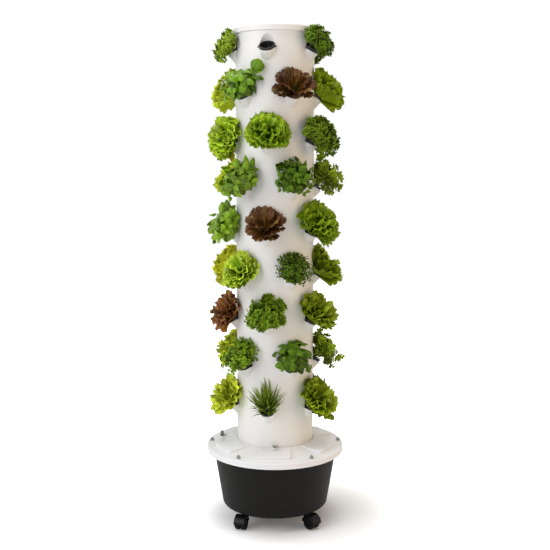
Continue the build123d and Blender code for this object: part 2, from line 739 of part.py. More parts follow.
# Cap: a shallow lid whose skirt drops over the collar
cap_seat = collar_top + SEAT_GAP
cap_top = collar_top + CAP_CROWN
cap_bore = COLUMN_RADIUS + LIFT_FIT
cap_recess = COLUMN_RADIUS - CAP_SEAT_WIDTH
cap_bottom = collar_top - CAP_SKIRT_DROP
cap = revolved(
    [
        (0, cap_top),
        (cap_radius - CAP_BEVEL, cap_top),
        (cap_radius, cap_top - CAP_BEVEL),
        (cap_radius, cap_bottom),
        (cap_bore, cap_bottom),
        (cap_bore, cap_seat),
        (cap_recess, cap_seat),
        (cap_recess, cap_top - CAP_PLATE),
        (0, cap_top - CAP_PLATE),
    ]
)
save(cap, "top_cap")

# Distributor dish on the collar's ledge: a raised rim, a hub for the riser, drip holes
dish_bottom = top_seam + ledge_top
dish_radius = column_bore - LIFT_FIT
dish_shell = revolved(
    [
        (riser_bore, dish_bottom + DISH_FLOOR),
        (dish_radius - DISH_WALL, dish_bottom + DISH_FLOOR),
        (dish_radius - DISH_WALL, dish_bottom + DISH_RIM_HEIGHT),
        (dish_radius, dish_bottom + DISH_RIM_HEIGHT),
        (dish_radius, dish_bottom),
        (riser_bore + DISH_HUB_WALL, dish_bottom),
        (riser_bore + DISH_HUB_WALL, dish_bottom - DISH_HUB_DROP),
        (riser_bore, dish_bottom - DISH_HUB_DROP),
    ]
)
with BuildPart() as dish:
    add(dish_shell)
    with Locations((0, 0, dish_bottom)):
        with PolarLocations(DISH_HOLE_CIRCLE, DISH_HOLES):
            Cylinder(DISH_HOLE_RADIUS, 4 * DISH_FLOOR, mode=Mode.SUBTRACT)
save(dish.part, "distributor_dish")

# Net cup about its own axis: tapered, slotted, with a rolled rim and two ears on the lip
cup_rim_wall = CUP_RIM_RADIUS - CUP_RIM_ROLL
cup_foot = cup_lip_radius - CUP_DEPTH * cup_slope
rim_band_bottom = CUP_RIM_HEIGHT - CUP_RIM_BAND
cup_shell = revolved(
    [
        (0, -CUP_DEPTH),
        (cup_foot, -CUP_DEPTH),
        (cup_rim_wall - CUP_RIM_BAND * cup_slope, rim_band_bottom),
        (CUP_RIM_RADIUS, rim_band_bottom),
        (CUP_RIM_RADIUS, CUP_RIM_HEIGHT),
        (cup_rim_wall - CUP_WALL, CUP_RIM_HEIGHT),
        (cup_foot - CUP_WALL, -CUP_DEPTH + CUP_WALL),
        (0, -CUP_DEPTH + CUP_WALL),
    ]
)
slot_bottom = -CUP_DEPTH + CUP_SLOT_MARGIN
slot_height = -CUP_SLOT_MARGIN - slot_bottom
ear_root = cup_lip_radius - CUP_WALL / 2
with BuildPart() as cup:
    add(cup_shell)
    with BuildSketch(Plane.XY.offset(SEAT_GAP)):
        Rectangle(CUP_EAR_WIDTH, 2 * CUP_EAR_REACH)
        Circle(ear_root, mode=Mode.SUBTRACT)
    extrude(amount=CUP_EAR_THICKNESS)
    for index in range(CUP_SLOTS // 2):
        with Locations(Location((0, 0, slot_bottom), (0, 0, index * 360 / CUP_SLOTS))):
            Box(
                2 * CUP_RIM_RADIUS,
                CUP_SLOT_WIDTH,
                slot_height,
                align=(Align.CENTER, Align.CENTER, Align.MIN),
                mode=Mode.SUBTRACT,
            )
    with Locations((0, 0, -CUP_DEPTH)):
        Box(cup_foot, CUP_SLOT_WIDTH, 4 * CUP_WALL, mode=Mode.SUBTRACT)
        Box(CUP_SLOT_WIDTH, cup_foot, 4 * CUP_WALL, mode=Mode.SUBTRACT)

# Growing plug: fills a planted cup from its lower half to just above the lip
plug_inset = CUP_WALL + PLUG_FIT
plug = revolved(
    [
        (0, -PLUG_DEPTH),
        (cup_lip_radius - PLUG_DEPTH * cup_slope - plug_inset, -PLUG_DEPTH),
        (cup_lip_radius + PLUG_TOP * cup_slope - plug_inset, PLUG_TOP),
        (0, PLUG_TOP),
    ]
)


def plant_crown(habit):
    """Crown of leaves about the pocket's axis: a flared underside and a domed top."""
    widest, middle, top = habit
    base = CUP_RIM_HEIGHT + PLANT_RIM_GAP
    shoulder = CROWN_SHOULDER * widest
    with BuildPart() as crown:
        with BuildSketch(Plane.XZ):
            with BuildLine():
                Line((0, base), (PLANT_STEM_RADIUS, base))
                ThreePointArc(
                    (PLANT_STEM_RADIUS, base),
                    (shoulder, base + CROWN_FLARE * (middle - base)),
                    (widest, middle),
                )
                ThreePointArc(
                    (widest, middle),
                    (shoulder, middle + CROWN_DOME * (top - middle)),
                    (0, top),
                )
                Line((0, top), (0, base))
            make_face()
        revolve(axis=Axis.Z)
    return crown.part


with BuildPart() as stem:
    with BuildSketch(Plane.XY.offset(PLUG_TOP)):
        Circle(PLANT_STEM_RADIUS)
    extrude(amount=CUP_RIM_HEIGHT + PLANT_RIM_GAP - PLUG_TOP + PLANT_STEM_RADIUS)
crowns = {habit: plant_crown(habit) for habit in {kind for row in CROP for kind in row if kind}}

# Cups, plugs and plants in their pockets, tier by tier
planted = []
for tier, row in enumerate(CROP, start=1):
    pockets = pocket_locations(tier_seam(tier), tier_turn(tier))
    keep_out = (cap_radius if tier == 1 else COLUMN_RADIUS) + PLANT_WALL_GAP
    with BuildPart() as plants:
        for pocket, kind in zip(pockets, row):
            if kind:
                with Locations(pocket):
                    add(crowns[kind])
        with Locations((0, 0, tier_seam(tier))):
            Cylinder(keep_out, 4 * TIER_PITCH, mode=Mode.SUBTRACT)
        for pocket, kind in zip(pockets, row):
            if kind:
                with Locations(pocket):
                    add(stem.part)
                planted.append(pocket)
    save(plants.part, f"plants_tier_{tier}")
    if None in row:
        save(placed(cup.part, [pockets[row.index(None)]]), "empty_net_cup")
save(placed(cup.part, planted), "net_cups")
save(placed(plug, planted), "grow_plugs")

# Pump: motor housing with the rotor's well, volute cover with intake and outlet
pump_bottom = tub_floor + PUMP_FOOT_HEIGHT
rotor_height = pump_bottom + PUMP_HEIGHT / 2
motor_face = -PUMP_OUTLET_FROM_COVER
motor_back = motor_face - PUMP_MOTOR_LENGTH
cover_front = motor_face + PUMP_COVER_LENGTH


def along_rotor(start):
    return Plane(origin=(start, 0, rotor_height), x_dir=(0, 1, 0), z_dir=(1, 0, 0))


def pump_block(back, length):
    """Rounded block of the pump, along X."""
    with BuildPart() as block:
        with BuildSketch(along_rotor(back)):
            RectangleRounded(PUMP_WIDTH, PUMP_HEIGHT, PUMP_CORNER_RADIUS)
        extrude(amount=length)
    return block.part


well_back = motor_face - PUMP_WELL_DEPTH
with BuildPart() as motor:
    add(pump_block(motor_back, PUMP_MOTOR_LENGTH))
    with BuildSketch(along_rotor(well_back)):
        Circle(PUMP_WELL_RADIUS)
    extrude(amount=PUMP_WELL_DEPTH, mode=Mode.SUBTRACT)
    with BuildSketch(along_rotor(well_back - ROTOR_SHAFT_SEAT)):
        Circle(ROTOR_SHAFT_RADIUS + RUNNING_FIT)
    extrude(amount=ROTOR_SHAFT_SEAT, mode=Mode.SUBTRACT)
save(motor.part, "pump_motor")

chamber_front = motor_face + PUMP_CHAMBER_DEPTH
nozzle_foot = pump_bottom + PUMP_HEIGHT
nozzle_top = nozzle_foot + PUMP_NOZZLE_HEIGHT
with BuildPart() as volute:
    add(pump_block(motor_face, PUMP_COVER_LENGTH))
    with BuildSketch(Plane.XY.offset(rotor_height)):
        Circle(PUMP_NOZZLE_RADIUS)
    extrude(amount=nozzle_top - rotor_height)
    with BuildSketch(along_rotor(motor_face)):
        Circle(PUMP_CHAMBER_RADIUS)
    extrude(amount=PUMP_CHAMBER_DEPTH, mode=Mode.SUBTRACT)
    with BuildSketch(Plane.XY.offset(rotor_height)):
        Circle(PUMP_NOZZLE_BORE)
    extrude(amount=nozzle_top - rotor_height, mode=Mode.SUBTRACT)
    with BuildSketch(along_rotor(chamber_front)):
        Circle(ROTOR_SHAFT_RADIUS + RUNNING_FIT)
    extrude(amount=ROTOR_SHAFT_SEAT, mode=Mode.SUBTRACT)
    with BuildSketch(along_rotor(chamber_front)):
        with PolarLocations(PUMP_INTAKE_CIRCLE, PUMP_INTAKE_HOLES):
            Circle(PUMP_INTAKE_RADIUS)
    extrude(amount=PUMP_COVER_LENGTH, mode=Mode.SUBTRACT)
save(volute.part, "pump_cover")

# Rotor: shaft, magnet in the well, impeller in the chamber
shaft_back = well_back - ROTOR_SHAFT_SEAT + SEAT_GAP
shaft_front = chamber_front + ROTOR_SHAFT_SEAT - SEAT_GAP
impeller_back = motor_face + IMPELLER_SIDE_GAP
with BuildPart() as rotor:
    with BuildSketch(along_rotor(shaft_back)):
        Circle(ROTOR_SHAFT_RADIUS)
    extrude(amount=shaft_front - shaft_back)
    with BuildSketch(along_rotor(motor_face - IMPELLER_SIDE_GAP - ROTOR_MAGNET_LENGTH)):
        Circle(ROTOR_MAGNET_RADIUS)
    extrude(amount=ROTOR_MAGNET_LENGTH)
    with BuildSketch(along_rotor(impeller_back)):
        Circle(IMPELLER_RADIUS)
    extrude(amount=IMPELLER_DISC)
    with BuildSketch(along_rotor(impeller_back + IMPELLER_DISC)):
        with PolarLocations(IMPELLER_RADIUS / 2, IMPELLER_BLADES):
            Rectangle(IMPELLER_RADIUS, IMPELLER_BLADE_THICKNESS)
        Circle(ROTOR_SHAFT_RADIUS)
    extrude(amount=IMPELLER_BLADE_HEIGHT)
save(rotor.part, "pump_rotor")

# Suction feet under the pump
foot_back = motor_back + PUMP_FOOT_INSET
foot_front = cover_front - PUMP_FOOT_INSET
foot_side = PUMP_WIDTH / 2 - PUMP_FOOT_INSET
pump_foot = revolved(
    [
        (0, tub_floor),
        (PUMP_FOOT_RADIUS, tub_floor),
        (PUMP_FOOT_RADIUS / 2, tub_floor + PUMP_FOOT_HEIGHT / 2),
        (PUMP_FOOT_RADIUS / 2, pump_bottom),
        (0, pump_bottom),
    ]
)
foot_places = [
    Location((along, across, 0))
    for along in (foot_back, foot_front)
    for across in (-foot_side, foot_side)
]
save(placed(pump_foot, foot_places), "pump_feet")

# Outlet adapter from the pump's nozzle to the riser
adapter_middle = nozzle_top
adapter_outer = riser_bore + ADAPTER_WALL
adapter = revolved(
    [
        (PUMP_NOZZLE_RADIUS + FIXED_FIT, adapter_middle - ADAPTER_GRIP),
        (adapter_outer, adapter_middle - ADAPTER_GRIP),
        (adapter_outer, adapter_middle + ADAPTER_GRIP),
        (riser_bore, adapter_middle + ADAPTER_GRIP),
        (riser_bore, adapter_middle),
        (PUMP_NOZZLE_RADIUS + FIXED_FIT, adapter_middle),
    ]
)
save(adapter, "outlet_adapter")

# Riser lengths end to end, and the couplings over their joints
riser_bottom = nozzle_top
riser_top = dish_bottom + DISH_FLOOR + RISER_SPOUT
riser_step = (riser_top - riser_bottom) / RISER_LENGTHS
for index in range(RISER_LENGTHS):
    with BuildPart() as riser:
        with BuildSketch(Plane.XY.offset(riser_bottom + index * riser_step)):
            Circle(RISER_RADIUS)
            Circle(RISER_RADIUS - RISER_WALL, mode=Mode.SUBTRACT)
        extrude(amount=riser_step)
    save(riser.part, f"riser_pipe_{index + 1}")
coupling = revolved(
    [
        (riser_bore, -COUPLING_LENGTH / 2),
        (riser_bore + COUPLING_WALL, -COUPLING_LENGTH / 2),
        (riser_bore + COUPLING_WALL, COUPLING_LENGTH / 2),
        (riser_bore, COUPLING_LENGTH / 2),
    ]
)
coupling_places = [
    Location((0, 0, riser_bottom + index * riser_step)) for index in range(1, RISER_LENGTHS)
]
save(placed(coupling, coupling_places), "riser_couplings")

# Caster about its own swivel axis, wheels trailing along +X
wheel_inner = YOKE_WEB / 2 + WHEEL_SIDE_GAP
wheel_outer = wheel_inner + WHEEL_WIDTH
hood_inner = WHEEL_RADIUS + HOOD_GAP
hood_outer = hood_inner + HOOD_WALL
boss_top = CASTER_HEIGHT - SEAT_GAP
with BuildPart() as yoke:
    with BuildSketch(Plane.XZ):
        with Locations((CASTER_TRAIL, WHEEL_RADIUS)):
            Circle(hood_outer)
            Circle(hood_inner, mode=Mode.SUBTRACT)
            with Locations((0, -hood_outer)):
                Rectangle(2 * hood_outer, 2 * hood_outer, mode=Mode.SUBTRACT)
    extrude(amount=wheel_outer, both=True)
    with BuildSketch(Plane.XZ):
        with Locations((CASTER_TRAIL, WHEEL_RADIUS)):
            Circle(hood_inner + HOOD_WALL / 2)
            with Locations((0, -hood_outer)):
                Rectangle(2 * hood_outer, 2 * hood_outer, mode=Mode.SUBTRACT)
            Circle(YOKE_HUB_RADIUS)
    extrude(amount=YOKE_WEB / 2, both=True)
    with BuildSketch(Plane.XY.offset(boss_top)):
        Circle(CASTER_BOSS_RADIUS)
    extrude(amount=-CASTER_BOSS_HEIGHT)
    # Room for the wheels, then the bores for the axle and the stem
    for side in (-1, 1):
        with BuildSketch(Plane.XZ.offset(side * YOKE_WEB / 2)):
            with Locations((CASTER_TRAIL, WHEEL_RADIUS)):
                Circle(hood_inner)
        extrude(amount=side * wheel_outer, mode=Mode.SUBTRACT)
    with BuildSketch(Plane.XZ):
        with Locations((CASTER_TRAIL, WHEEL_RADIUS)):
            Circle(AXLE_RADIUS + FIXED_FIT)
    extrude(amount=wheel_outer, both=True, mode=Mode.SUBTRACT)
    with BuildSketch(Plane.XY.offset(boss_top)):
        Circle(STEM_RADIUS + FIXED_FIT)
    extrude(amount=-STEM_GRIP, mode=Mode.SUBTRACT)

with BuildPart() as pins:
    with BuildSketch(Plane.XY.offset(boss_top - STEM_GRIP)):
        Circle(STEM_RADIUS)
    extrude(amount=STEM_GRIP + STEM_LENGTH)
    with BuildSketch(Plane.XZ):
        with Locations((CASTER_TRAIL, WHEEL_RADIUS)):
            Circle(AXLE_RADIUS)
    extrude(amount=wheel_outer - AXLE_END_DEPTH, both=True)

# Wheel about its axle: rounded tread, dished outer face with a hub
axle_bore = AXLE_RADIUS + RUNNING_FIT
bore_end = WHEEL_WIDTH - AXLE_END_DEPTH + SEAT_GAP
with BuildPart() as wheel:
    with BuildSketch():
        Circle(WHEEL_RADIUS)
    extrude(amount=WHEEL_WIDTH)
    fillet(wheel.edges().group_by(Axis.Z)[-1], WHEEL_EDGE_RADIUS)
    fillet(wheel.edges().group_by(Axis.Z)[0], WHEEL_EDGE_RADIUS / 4)
    with BuildSketch(Plane.XY.offset(WHEEL_WIDTH)):
        Circle(WHEEL_DISH_RADIUS)
        Circle(WHEEL_HUB_RADIUS, mode=Mode.SUBTRACT)
    extrude(amount=-WHEEL_DISH_DEPTH, mode=Mode.SUBTRACT)
    with BuildSketch():
        Circle(axle_bore)
    extrude(amount=bore_end, mode=Mode.SUBTRACT)

sides = {"left": 1, "right": -1}
for number, (spot, trail_angle) in enumerate(zip(caster_spots, CASTER_TRAIL_ANGLES), start=1):
    caster = Location((spot.X, spot.Y, 0), (0, 0, trail_angle))
    save(placed(yoke.part, [caster]), f"caster_yoke_{number}")
    save(placed(pins.part, [caster]), f"caster_pins_{number}")
    for name, side in sides.items():
        face = Plane(
            origin=(CASTER_TRAIL, side * wheel_inner, WHEEL_RADIUS), x_dir=(1, 0, 0), z_dir=(0, side, 0)
        )
        save(placed(wheel.part, [caster * face.location]), f"caster_wheel_{number}_{name}")
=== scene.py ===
import json
import math
import random

import bmesh
import bpy
import numpy as np
from mathutils import Matrix, Vector, noise


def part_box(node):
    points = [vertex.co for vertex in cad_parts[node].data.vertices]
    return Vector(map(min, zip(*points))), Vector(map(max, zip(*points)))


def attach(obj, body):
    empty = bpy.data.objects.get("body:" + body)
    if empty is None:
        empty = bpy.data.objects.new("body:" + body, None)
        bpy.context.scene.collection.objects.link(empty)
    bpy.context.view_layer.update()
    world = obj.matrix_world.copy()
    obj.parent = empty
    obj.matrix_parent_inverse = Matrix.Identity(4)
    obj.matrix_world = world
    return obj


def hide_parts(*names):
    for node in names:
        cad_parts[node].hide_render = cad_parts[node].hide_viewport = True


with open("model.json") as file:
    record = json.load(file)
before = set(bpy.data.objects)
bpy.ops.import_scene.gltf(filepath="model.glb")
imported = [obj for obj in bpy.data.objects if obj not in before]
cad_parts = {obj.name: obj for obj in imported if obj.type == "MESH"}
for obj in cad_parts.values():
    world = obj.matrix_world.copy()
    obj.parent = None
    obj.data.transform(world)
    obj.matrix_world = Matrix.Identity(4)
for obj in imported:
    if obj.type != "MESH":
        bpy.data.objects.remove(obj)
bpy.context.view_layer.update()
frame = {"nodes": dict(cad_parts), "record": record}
nodes = frame["nodes"]

# Driving sizes, in metres. +Z is up, the front is -Y, the floor is z = 0.
TIERS = 9
POCKETS = 5
COLUMN_RADIUS = 0.125
CAP_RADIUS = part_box("top_cap")[1].x
POCKET_RADIUS = 0.127  # rim centres of the pockets, from the column's axis
POCKET_TILT = math.radians(34)
FIRST_POCKET = math.radians(-101)  # odd tiers; even tiers are turned by half a step
TOP_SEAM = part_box("top_collar")[0].z
TIER_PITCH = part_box("tier_ring_1")[0].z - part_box("tier_ring_2")[0].z
CUP_MOUTH = 0.021  # radius that stems may use inside the cup's mouth
PLANT_BASE = 0.004  # where leaves start, above the pocket's lip
WALL_GAP = 0.003  # leaves beside the column keep this far from its wall
PRESS_SPREAD = 0.12  # share of its depth by which a pressed leaf stands further out
GOLDEN_TURN = math.radians(137.508)

# Habits of the plants: widest radius, height of the widest part, top
ROSETTE = (0.066, 0.042, 0.086)
FULL_ROSETTE = (0.07, 0.044, 0.092)
SMALL_HEAD = (0.064, 0.042, 0.084)
WIDE_FAN = (0.074, 0.046, 0.096)
LEAFY_HERB = (0.057, 0.048, 0.086)
COMPACT_HERB = (0.056, 0.048, 0.086)
FULL_HERB = (0.062, 0.044, 0.084)
FINE_HERB = (0.058, 0.046, 0.082)
CLIPPED_HERB = (0.053, 0.045, 0.08)
AIRY_HERB = (0.064, 0.048, 0.09)
LOW_HERB = (0.064, 0.038, 0.07)
YOUNG_HERB = (0.048, 0.035, 0.069)
SEEDLING = (0.048, 0.032, 0.056)
BLADES = (0.058, 0.072, 0.104)

# Patterns of the finishes: scale, where the noise's values lie, and the bump's strength and depth
NOISE_RANGE = (0.3, 0.7)
CLOUD_SCALE = 9.0
CLOUD_GLOSS = 0.06  # roughness above and below the plastic's own
GRAIN_BUMP = (0.12, 0.0004)
BLOTCH_SCALE = 180.0
BLOTCH_RANGE = (0.35, 0.65)
SCUFF_GLOSS = (-0.1, 0.12)  # roughness below and above the metal's own
SCUFF_BUMP = (0.15, 0.0003)
FIBRE_SCALE = 420.0
FIBRE_BUMP = (0.8, 0.002)
MOTTLE_SCALE = 140.0
MOTTLE_DEPTH = 0.16
QUILT_BUMP = (0.4, 0.0012)
QUILT_VEINS = 0.6  # how much the veins add to a leaf's bump

# Leaf colours: where heart, body and margin lie along the blade, and how far leaves differ in tone
HEART_AT = 0.12
BODY_AT = 0.55
MARGIN_AT = 0.97
LEAF_TONES = (0.48, 1.38)
STEM_TINT = -1.0  # marks stems in the tint attribute
STEM_RANGE = (-0.6, -0.4)  # tints between stems and leaves
# Veins: edge and strength of the midrib, width of the others
MIDRIB_RANGE = (0.02, 0.1)
MIDRIB_STRENGTH = 0.55
VEIN_WIDTH = 0.12
# Veins beside the midrib: their number along the blade, slant and strength
SIDE_VEINS = (8.0, 2.4, 0.08)
FAN_RIBS = (1.0, 5.0, 0.35)


# Small helpers for node materials
def new_finish(name, color, roughness, metallic=0.0, specular=0.5):
    """Material with plain values, and its nodes, links and shader."""
    material = bpy.data.materials.new(name)
    material.use_nodes = True
    shader = material.node_tree.nodes["Principled BSDF"]
    shader.inputs["Base Color"].default_value = (*color, 1)
    shader.inputs["Roughness"].default_value = roughness
    shader.inputs["Metallic"].default_value = metallic
    shader.inputs["Specular IOR Level"].default_value = specular
    return material, material.node_tree.nodes, material.node_tree.links, shader


def object_noise(tree_nodes, links, scale, detail=3.0):
    place = tree_nodes.new("ShaderNodeTexCoord")
    texture = tree_nodes.new("ShaderNodeTexNoise")
    texture.inputs["Scale"].default_value = scale
    texture.inputs["Detail"].default_value = detail
    links.new(place.outputs["Object"], texture.inputs["Vector"])
    return texture.outputs["Fac"]


def ranged(tree_nodes, links, value, low, high, to_low, to_high, smooth=False):
    node = tree_nodes.new("ShaderNodeMapRange")
    if smooth:
        node.interpolation_type = "SMOOTHSTEP"
    node.inputs["From Min"].default_value = low
    node.inputs["From Max"].default_value = high
    node.inputs["To Min"].default_value = to_low
    node.inputs["To Max"].default_value = to_high
    links.new(value, node.inputs["Value"])
    return node.outputs["Result"]


def math_of(tree_nodes, links, operation, first, second):
    node = tree_nodes.new("ShaderNodeMath")
    node.operation = operation
    for socket, value in zip(node.inputs, (first, second)):
        if isinstance(value, (int, float)):
            socket.default_value = value
        else:
            links.new(value, socket)
    return node.outputs["Value"]


def mixed(tree_nodes, links, factor, first, second):
    """Mix of two colours, each a tuple or another node's output."""
    node = tree_nodes.new("ShaderNodeMix")
    node.data_type = "RGBA"
    links.new(factor, node.inputs["Factor"])
    for socket, value in ((node.inputs[6], first), (node.inputs[7], second)):
        if isinstance(value, tuple):
            socket.default_value = (*value, 1)
        else:
            links.new(value, socket)
    return node.outputs[2]


def add_bump(tree_nodes, links, shader, height, strength, distance):
    bump = tree_nodes.new("ShaderNodeBump")
    bump.inputs["Strength"].default_value = strength
    bump.inputs["Distance"].default_value = distance
    links.new(height, bump.inputs["Height"])
    links.new(bump.outputs["Normal"], shader.inputs["Normal"])


def moulded_plastic(name, color, shade, roughness, grain, specular):
    """Moulded plastic: faint cloudiness in colour and gloss, and a fine grain."""
    material, tree, links, shader = new_finish(name, color, roughness, specular=specular)
    cloud = object_noise(tree, links, CLOUD_SCALE)
    tone = ranged(tree, links, cloud, *NOISE_RANGE, 0.0, 1.0)
    links.new(mixed(tree, links, tone, shade, color), shader.inputs["Base Color"])
    gloss = ranged(tree, links, cloud, *NOISE_RANGE, roughness - CLOUD_GLOSS, roughness + CLOUD_GLOSS)
    links.new(gloss, shader.inputs["Roughness"])
    add_bump(tree, links, shader, object_noise(tree, links, grain, detail=2.0), *GRAIN_BUMP)
    return material


def plated_metal(name, color, shade, roughness):
    """Dull zinc or steel: blotchy tone and small scuffs."""
    material, tree, links, shader = new_finish(name, color, roughness, metallic=1.0)
    blotch = object_noise(tree, links, BLOTCH_SCALE, detail=4.0)
    tone = ranged(tree, links, blotch, *BLOTCH_RANGE, 0.0, 1.0)
    links.new(mixed(tree, links, tone, shade, color), shader.inputs["Base Color"])
    smooth, scuffed = (roughness + change for change in SCUFF_GLOSS)
    links.new(ranged(tree, links, blotch, *NOISE_RANGE, smooth, scuffed), shader.inputs["Roughness"])
    add_bump(tree, links, shader, blotch, *SCUFF_BUMP)
    return material


def plug_fibre():
    """Rough brown growing plug."""
    brown, dark, light = (0.09, 0.06, 0.035), (0.03, 0.02, 0.012), (0.2, 0.14, 0.08)
    material, tree, links, shader = new_finish("plug_fibre", brown, roughness=0.95, specular=0.2)
    fibre = object_noise(tree, links, FIBRE_SCALE, detail=6.0)
    tone = ranged(tree, links, fibre, *NOISE_RANGE, 0.0, 1.0)
    links.new(mixed(tree, links, tone, dark, light), shader.inputs["Base Color"])
    add_bump(tree, links, shader, fibre, *FIBRE_BUMP)
    return material


def leaf_finish(name, colors, gloss, veins):
    """Leaf colours along the blade, partly painted shade and light, a paler midrib and veins, and a tint for
    every leaf: its own tone, on sprigs with painted shade and light added.
    """
    heart, body, margin, vein = colors
    roughness, specular = gloss
    material, tree, links, shader = new_finish(name, body, roughness, specular=specular)
    blade = tree.new("ShaderNodeUVMap")
    blade.uv_map = "blade"
    split = tree.new("ShaderNodeSeparateXYZ")
    links.new(blade.outputs["UV"], split.inputs["Vector"])
    across = math_of(tree, links, "ABSOLUTE", split.outputs["X"], 0.0)
    # Ramp from heart to margin: partly the leaf's own colouring, partly painted shade towards its foot and
    # painted light towards its margin
    ramp = tree.new("ShaderNodeValToRGB")
    ramp.color_ramp.elements[0].position = HEART_AT
    ramp.color_ramp.elements[0].color = (*heart, 1)
    ramp.color_ramp.elements[1].position = MARGIN_AT
    ramp.color_ramp.elements[1].color = (*margin, 1)
    middle = ramp.color_ramp.elements.new(BODY_AT)
    middle.color = (*body, 1)
    links.new(split.outputs["Y"], ramp.inputs["Fac"])
    tint = tree.new("ShaderNodeAttribute")
    tint.attribute_name = "tint"
    mottle = object_noise(tree, links, MOTTLE_SCALE, detail=4.0)
    leaf_tone = ranged(tree, links, tint.outputs["Fac"], 0.0, 1.0, *LEAF_TONES)
    spots = ranged(tree, links, mottle, *NOISE_RANGE, -MOTTLE_DEPTH, MOTTLE_DEPTH)
    toned = tree.new("ShaderNodeVectorMath")
    toned.operation = "SCALE"
    links.new(ramp.outputs["Color"], toned.inputs[0])
    links.new(math_of(tree, links, "ADD", leaf_tone, spots), toned.inputs["Scale"])
    # Side veins run up and out from the midrib; ribs fan out from the stalk
    count, slant, strength = veins
    rise = math_of(tree, links, "MULTIPLY", split.outputs["Y"], count)
    path = math_of(tree, links, "SUBTRACT", rise, math_of(tree, links, "MULTIPLY", across, slant))
    vein_wave = math_of(tree, links, "PINGPONG", path, 0.5)
    side_vein = ranged(tree, links, vein_wave, 0.0, VEIN_WIDTH, strength, 0.0, smooth=True)
    midrib = ranged(tree, links, across, *MIDRIB_RANGE, MIDRIB_STRENGTH, 0.0, smooth=True)
    rib = math_of(tree, links, "MAXIMUM", midrib, side_vein)
    ribbed = mixed(tree, links, rib, toned.outputs["Vector"], vein)
    stem = ranged(tree, links, tint.outputs["Fac"], *STEM_RANGE, 1.0, 0.0)
    links.new(mixed(tree, links, stem, ribbed, vein), shader.inputs["Base Color"])
    quilted = math_of(tree, links, "ADD", mottle, math_of(tree, links, "MULTIPLY", vein_wave, QUILT_VEINS))
    add_bump(tree, links, shader, quilted, *QUILT_BUMP)
    return material


# Leaf blades, made from a flat grid: +Y grows, +Z is the upper side
UNIT = 0.07  # length that leaf and sprig templates are made at
BEND_STEPS = 10
STEM_SIDES = 5
STEM_TAPER = 0.6
STEM_CUTS = 3


def bent(x, along, lift, bend, length, roll=1.0):
    """Point of a blade that curves back from its upper side; a larger roll keeps the curve near the tip."""
    y = z = 0.0
    for step in range(BEND_STEPS):
        turn = bend * ((step + 0.5) / BEND_STEPS * along / length) ** roll
        y += math.cos(turn) * along / BEND_STEPS
        z -= math.sin(turn) * along / BEND_STEPS
    turn = bend * (max(along, 0.0) / length) ** roll
    return Vector((x, y + lift * math.sin(turn), z + lift * math.cos(turn)))


def blade_mesh(name, across, along, place, thickness):
    """Thin closed blade; place(u, v) gives the spot of a point u across (-1 to 1) and v along (0 to 1)."""
    bm = bmesh.new()
    blade_map = bm.loops.layers.uv.new("blade")
    bmesh.ops.create_grid(bm, x_segments=across, y_segments=along, size=1)
    for face in bm.faces:
        for loop in face.loops:
            loop[blade_map].uv = (loop.vert.co.x, (loop.vert.co.y + 1) / 2)
    for vert in bm.verts:
        vert.co = place(vert.co.x, (vert.co.y + 1) / 2)
    bmesh.ops.solidify(bm, geom=bm.faces[:], thickness=thickness)
    mesh = bpy.data.meshes.new(name)
    bm.to_mesh(mesh)
    bm.free()
    mesh.attributes.new("tint", "FLOAT", "POINT")
    return mesh


# Broad leaves. Shares are of the leaf's length or of the ruffles' height
FAN_THICKNESS = 0.0006
FAN_ROWS = 5
RUFFLE_COLUMNS = 8
SALAD_ROLL = 2.2  # how late salad leaves curve back
FOOT_GAP = 0.001
STALK_SHARE = 0.09
WAVE_CHANGE = (0.9, 1.1)  # how far the number of ruffles varies
MARGIN_CROWDING = 1.4  # the grid's rows lie closer towards the margin
RUFFLE_ONSET = 2.5  # ruffles grow towards the margin
NOTCH_WIDTH = 0.7  # below 1 the notches between scallops and between lobes are narrow
SCALLOP_SHIFT = 0.6
LOBE_SHIFT = 0.15
CRIMP_SHARE = 0.4
CRIMP_ONSET = 3
CRIMP_RATE = 2.3
BROAD_SHARE = 0.6
BROAD_RATE = 1.4
SWAY_SHARE = 0.6
RIB_DEPTH = 0.05
RIB_WIDTH = 0.16


def fan_leaf(seed, length, spread, frill, waves, scallop, lobes, lobe_depth, rounding, bend, hollow):
    """Broad salad leaf: fans out from its stalk to a ruffled, scalloped margin."""
    draw = random.Random(seed)
    broad, ruffle, crimp, lobe_turn = (draw.uniform(0, 2 * math.pi) for _ in range(4))
    waves *= draw.uniform(*WAVE_CHANGE)
    stalk = STALK_SHARE * length

    def place(u, v):
        along = 1 - (1 - v) ** MARGIN_CROWDING
        edge = along ** RUFFLE_ONSET
        angle = u * spread
        wave = math.pi * waves * u + ruffle
        # Outline: rounded at its corners, scalloped by the ruffles and cut in between the lobes
        bump = abs(math.cos(wave + SCALLOP_SHIFT)) ** NOTCH_WIDTH
        lobe = abs(math.cos(math.pi * lobes / 2 * u + LOBE_SHIFT * lobe_turn)) ** NOTCH_WIDTH
        outline = 1 - rounding * u * u - along * (scallop * (1 - bump) + lobe_depth * (1 - lobe))
        reach = length * along * outline
        # Height: ruffles with a finer crimp at the margin, one broad wave, a hollow and a sunk midrib
        fine = CRIMP_SHARE * along ** CRIMP_ONSET * math.sin(CRIMP_RATE * wave + crimp)
        lift = frill * edge * (math.sin(wave) + fine)
        lift += BROAD_SHARE * frill * along * math.sin(BROAD_RATE * math.pi * u + broad)
        lift += hollow * length * u * u * along
        lift -= RIB_DEPTH * length * math.exp(-(u / RIB_WIDTH) ** 2) * (1 - along)
        x = reach * math.sin(angle) + stalk * u * (1 - along) + SWAY_SHARE * frill * edge * math.cos(wave)
        return bent(x, reach * math.cos(angle) + FOOT_GAP, lift, bend, length, SALAD_ROLL)

    return blade_mesh("fan_leaf", round(RUFFLE_COLUMNS * waves), FAN_ROWS, place, FAN_THICKNESS)


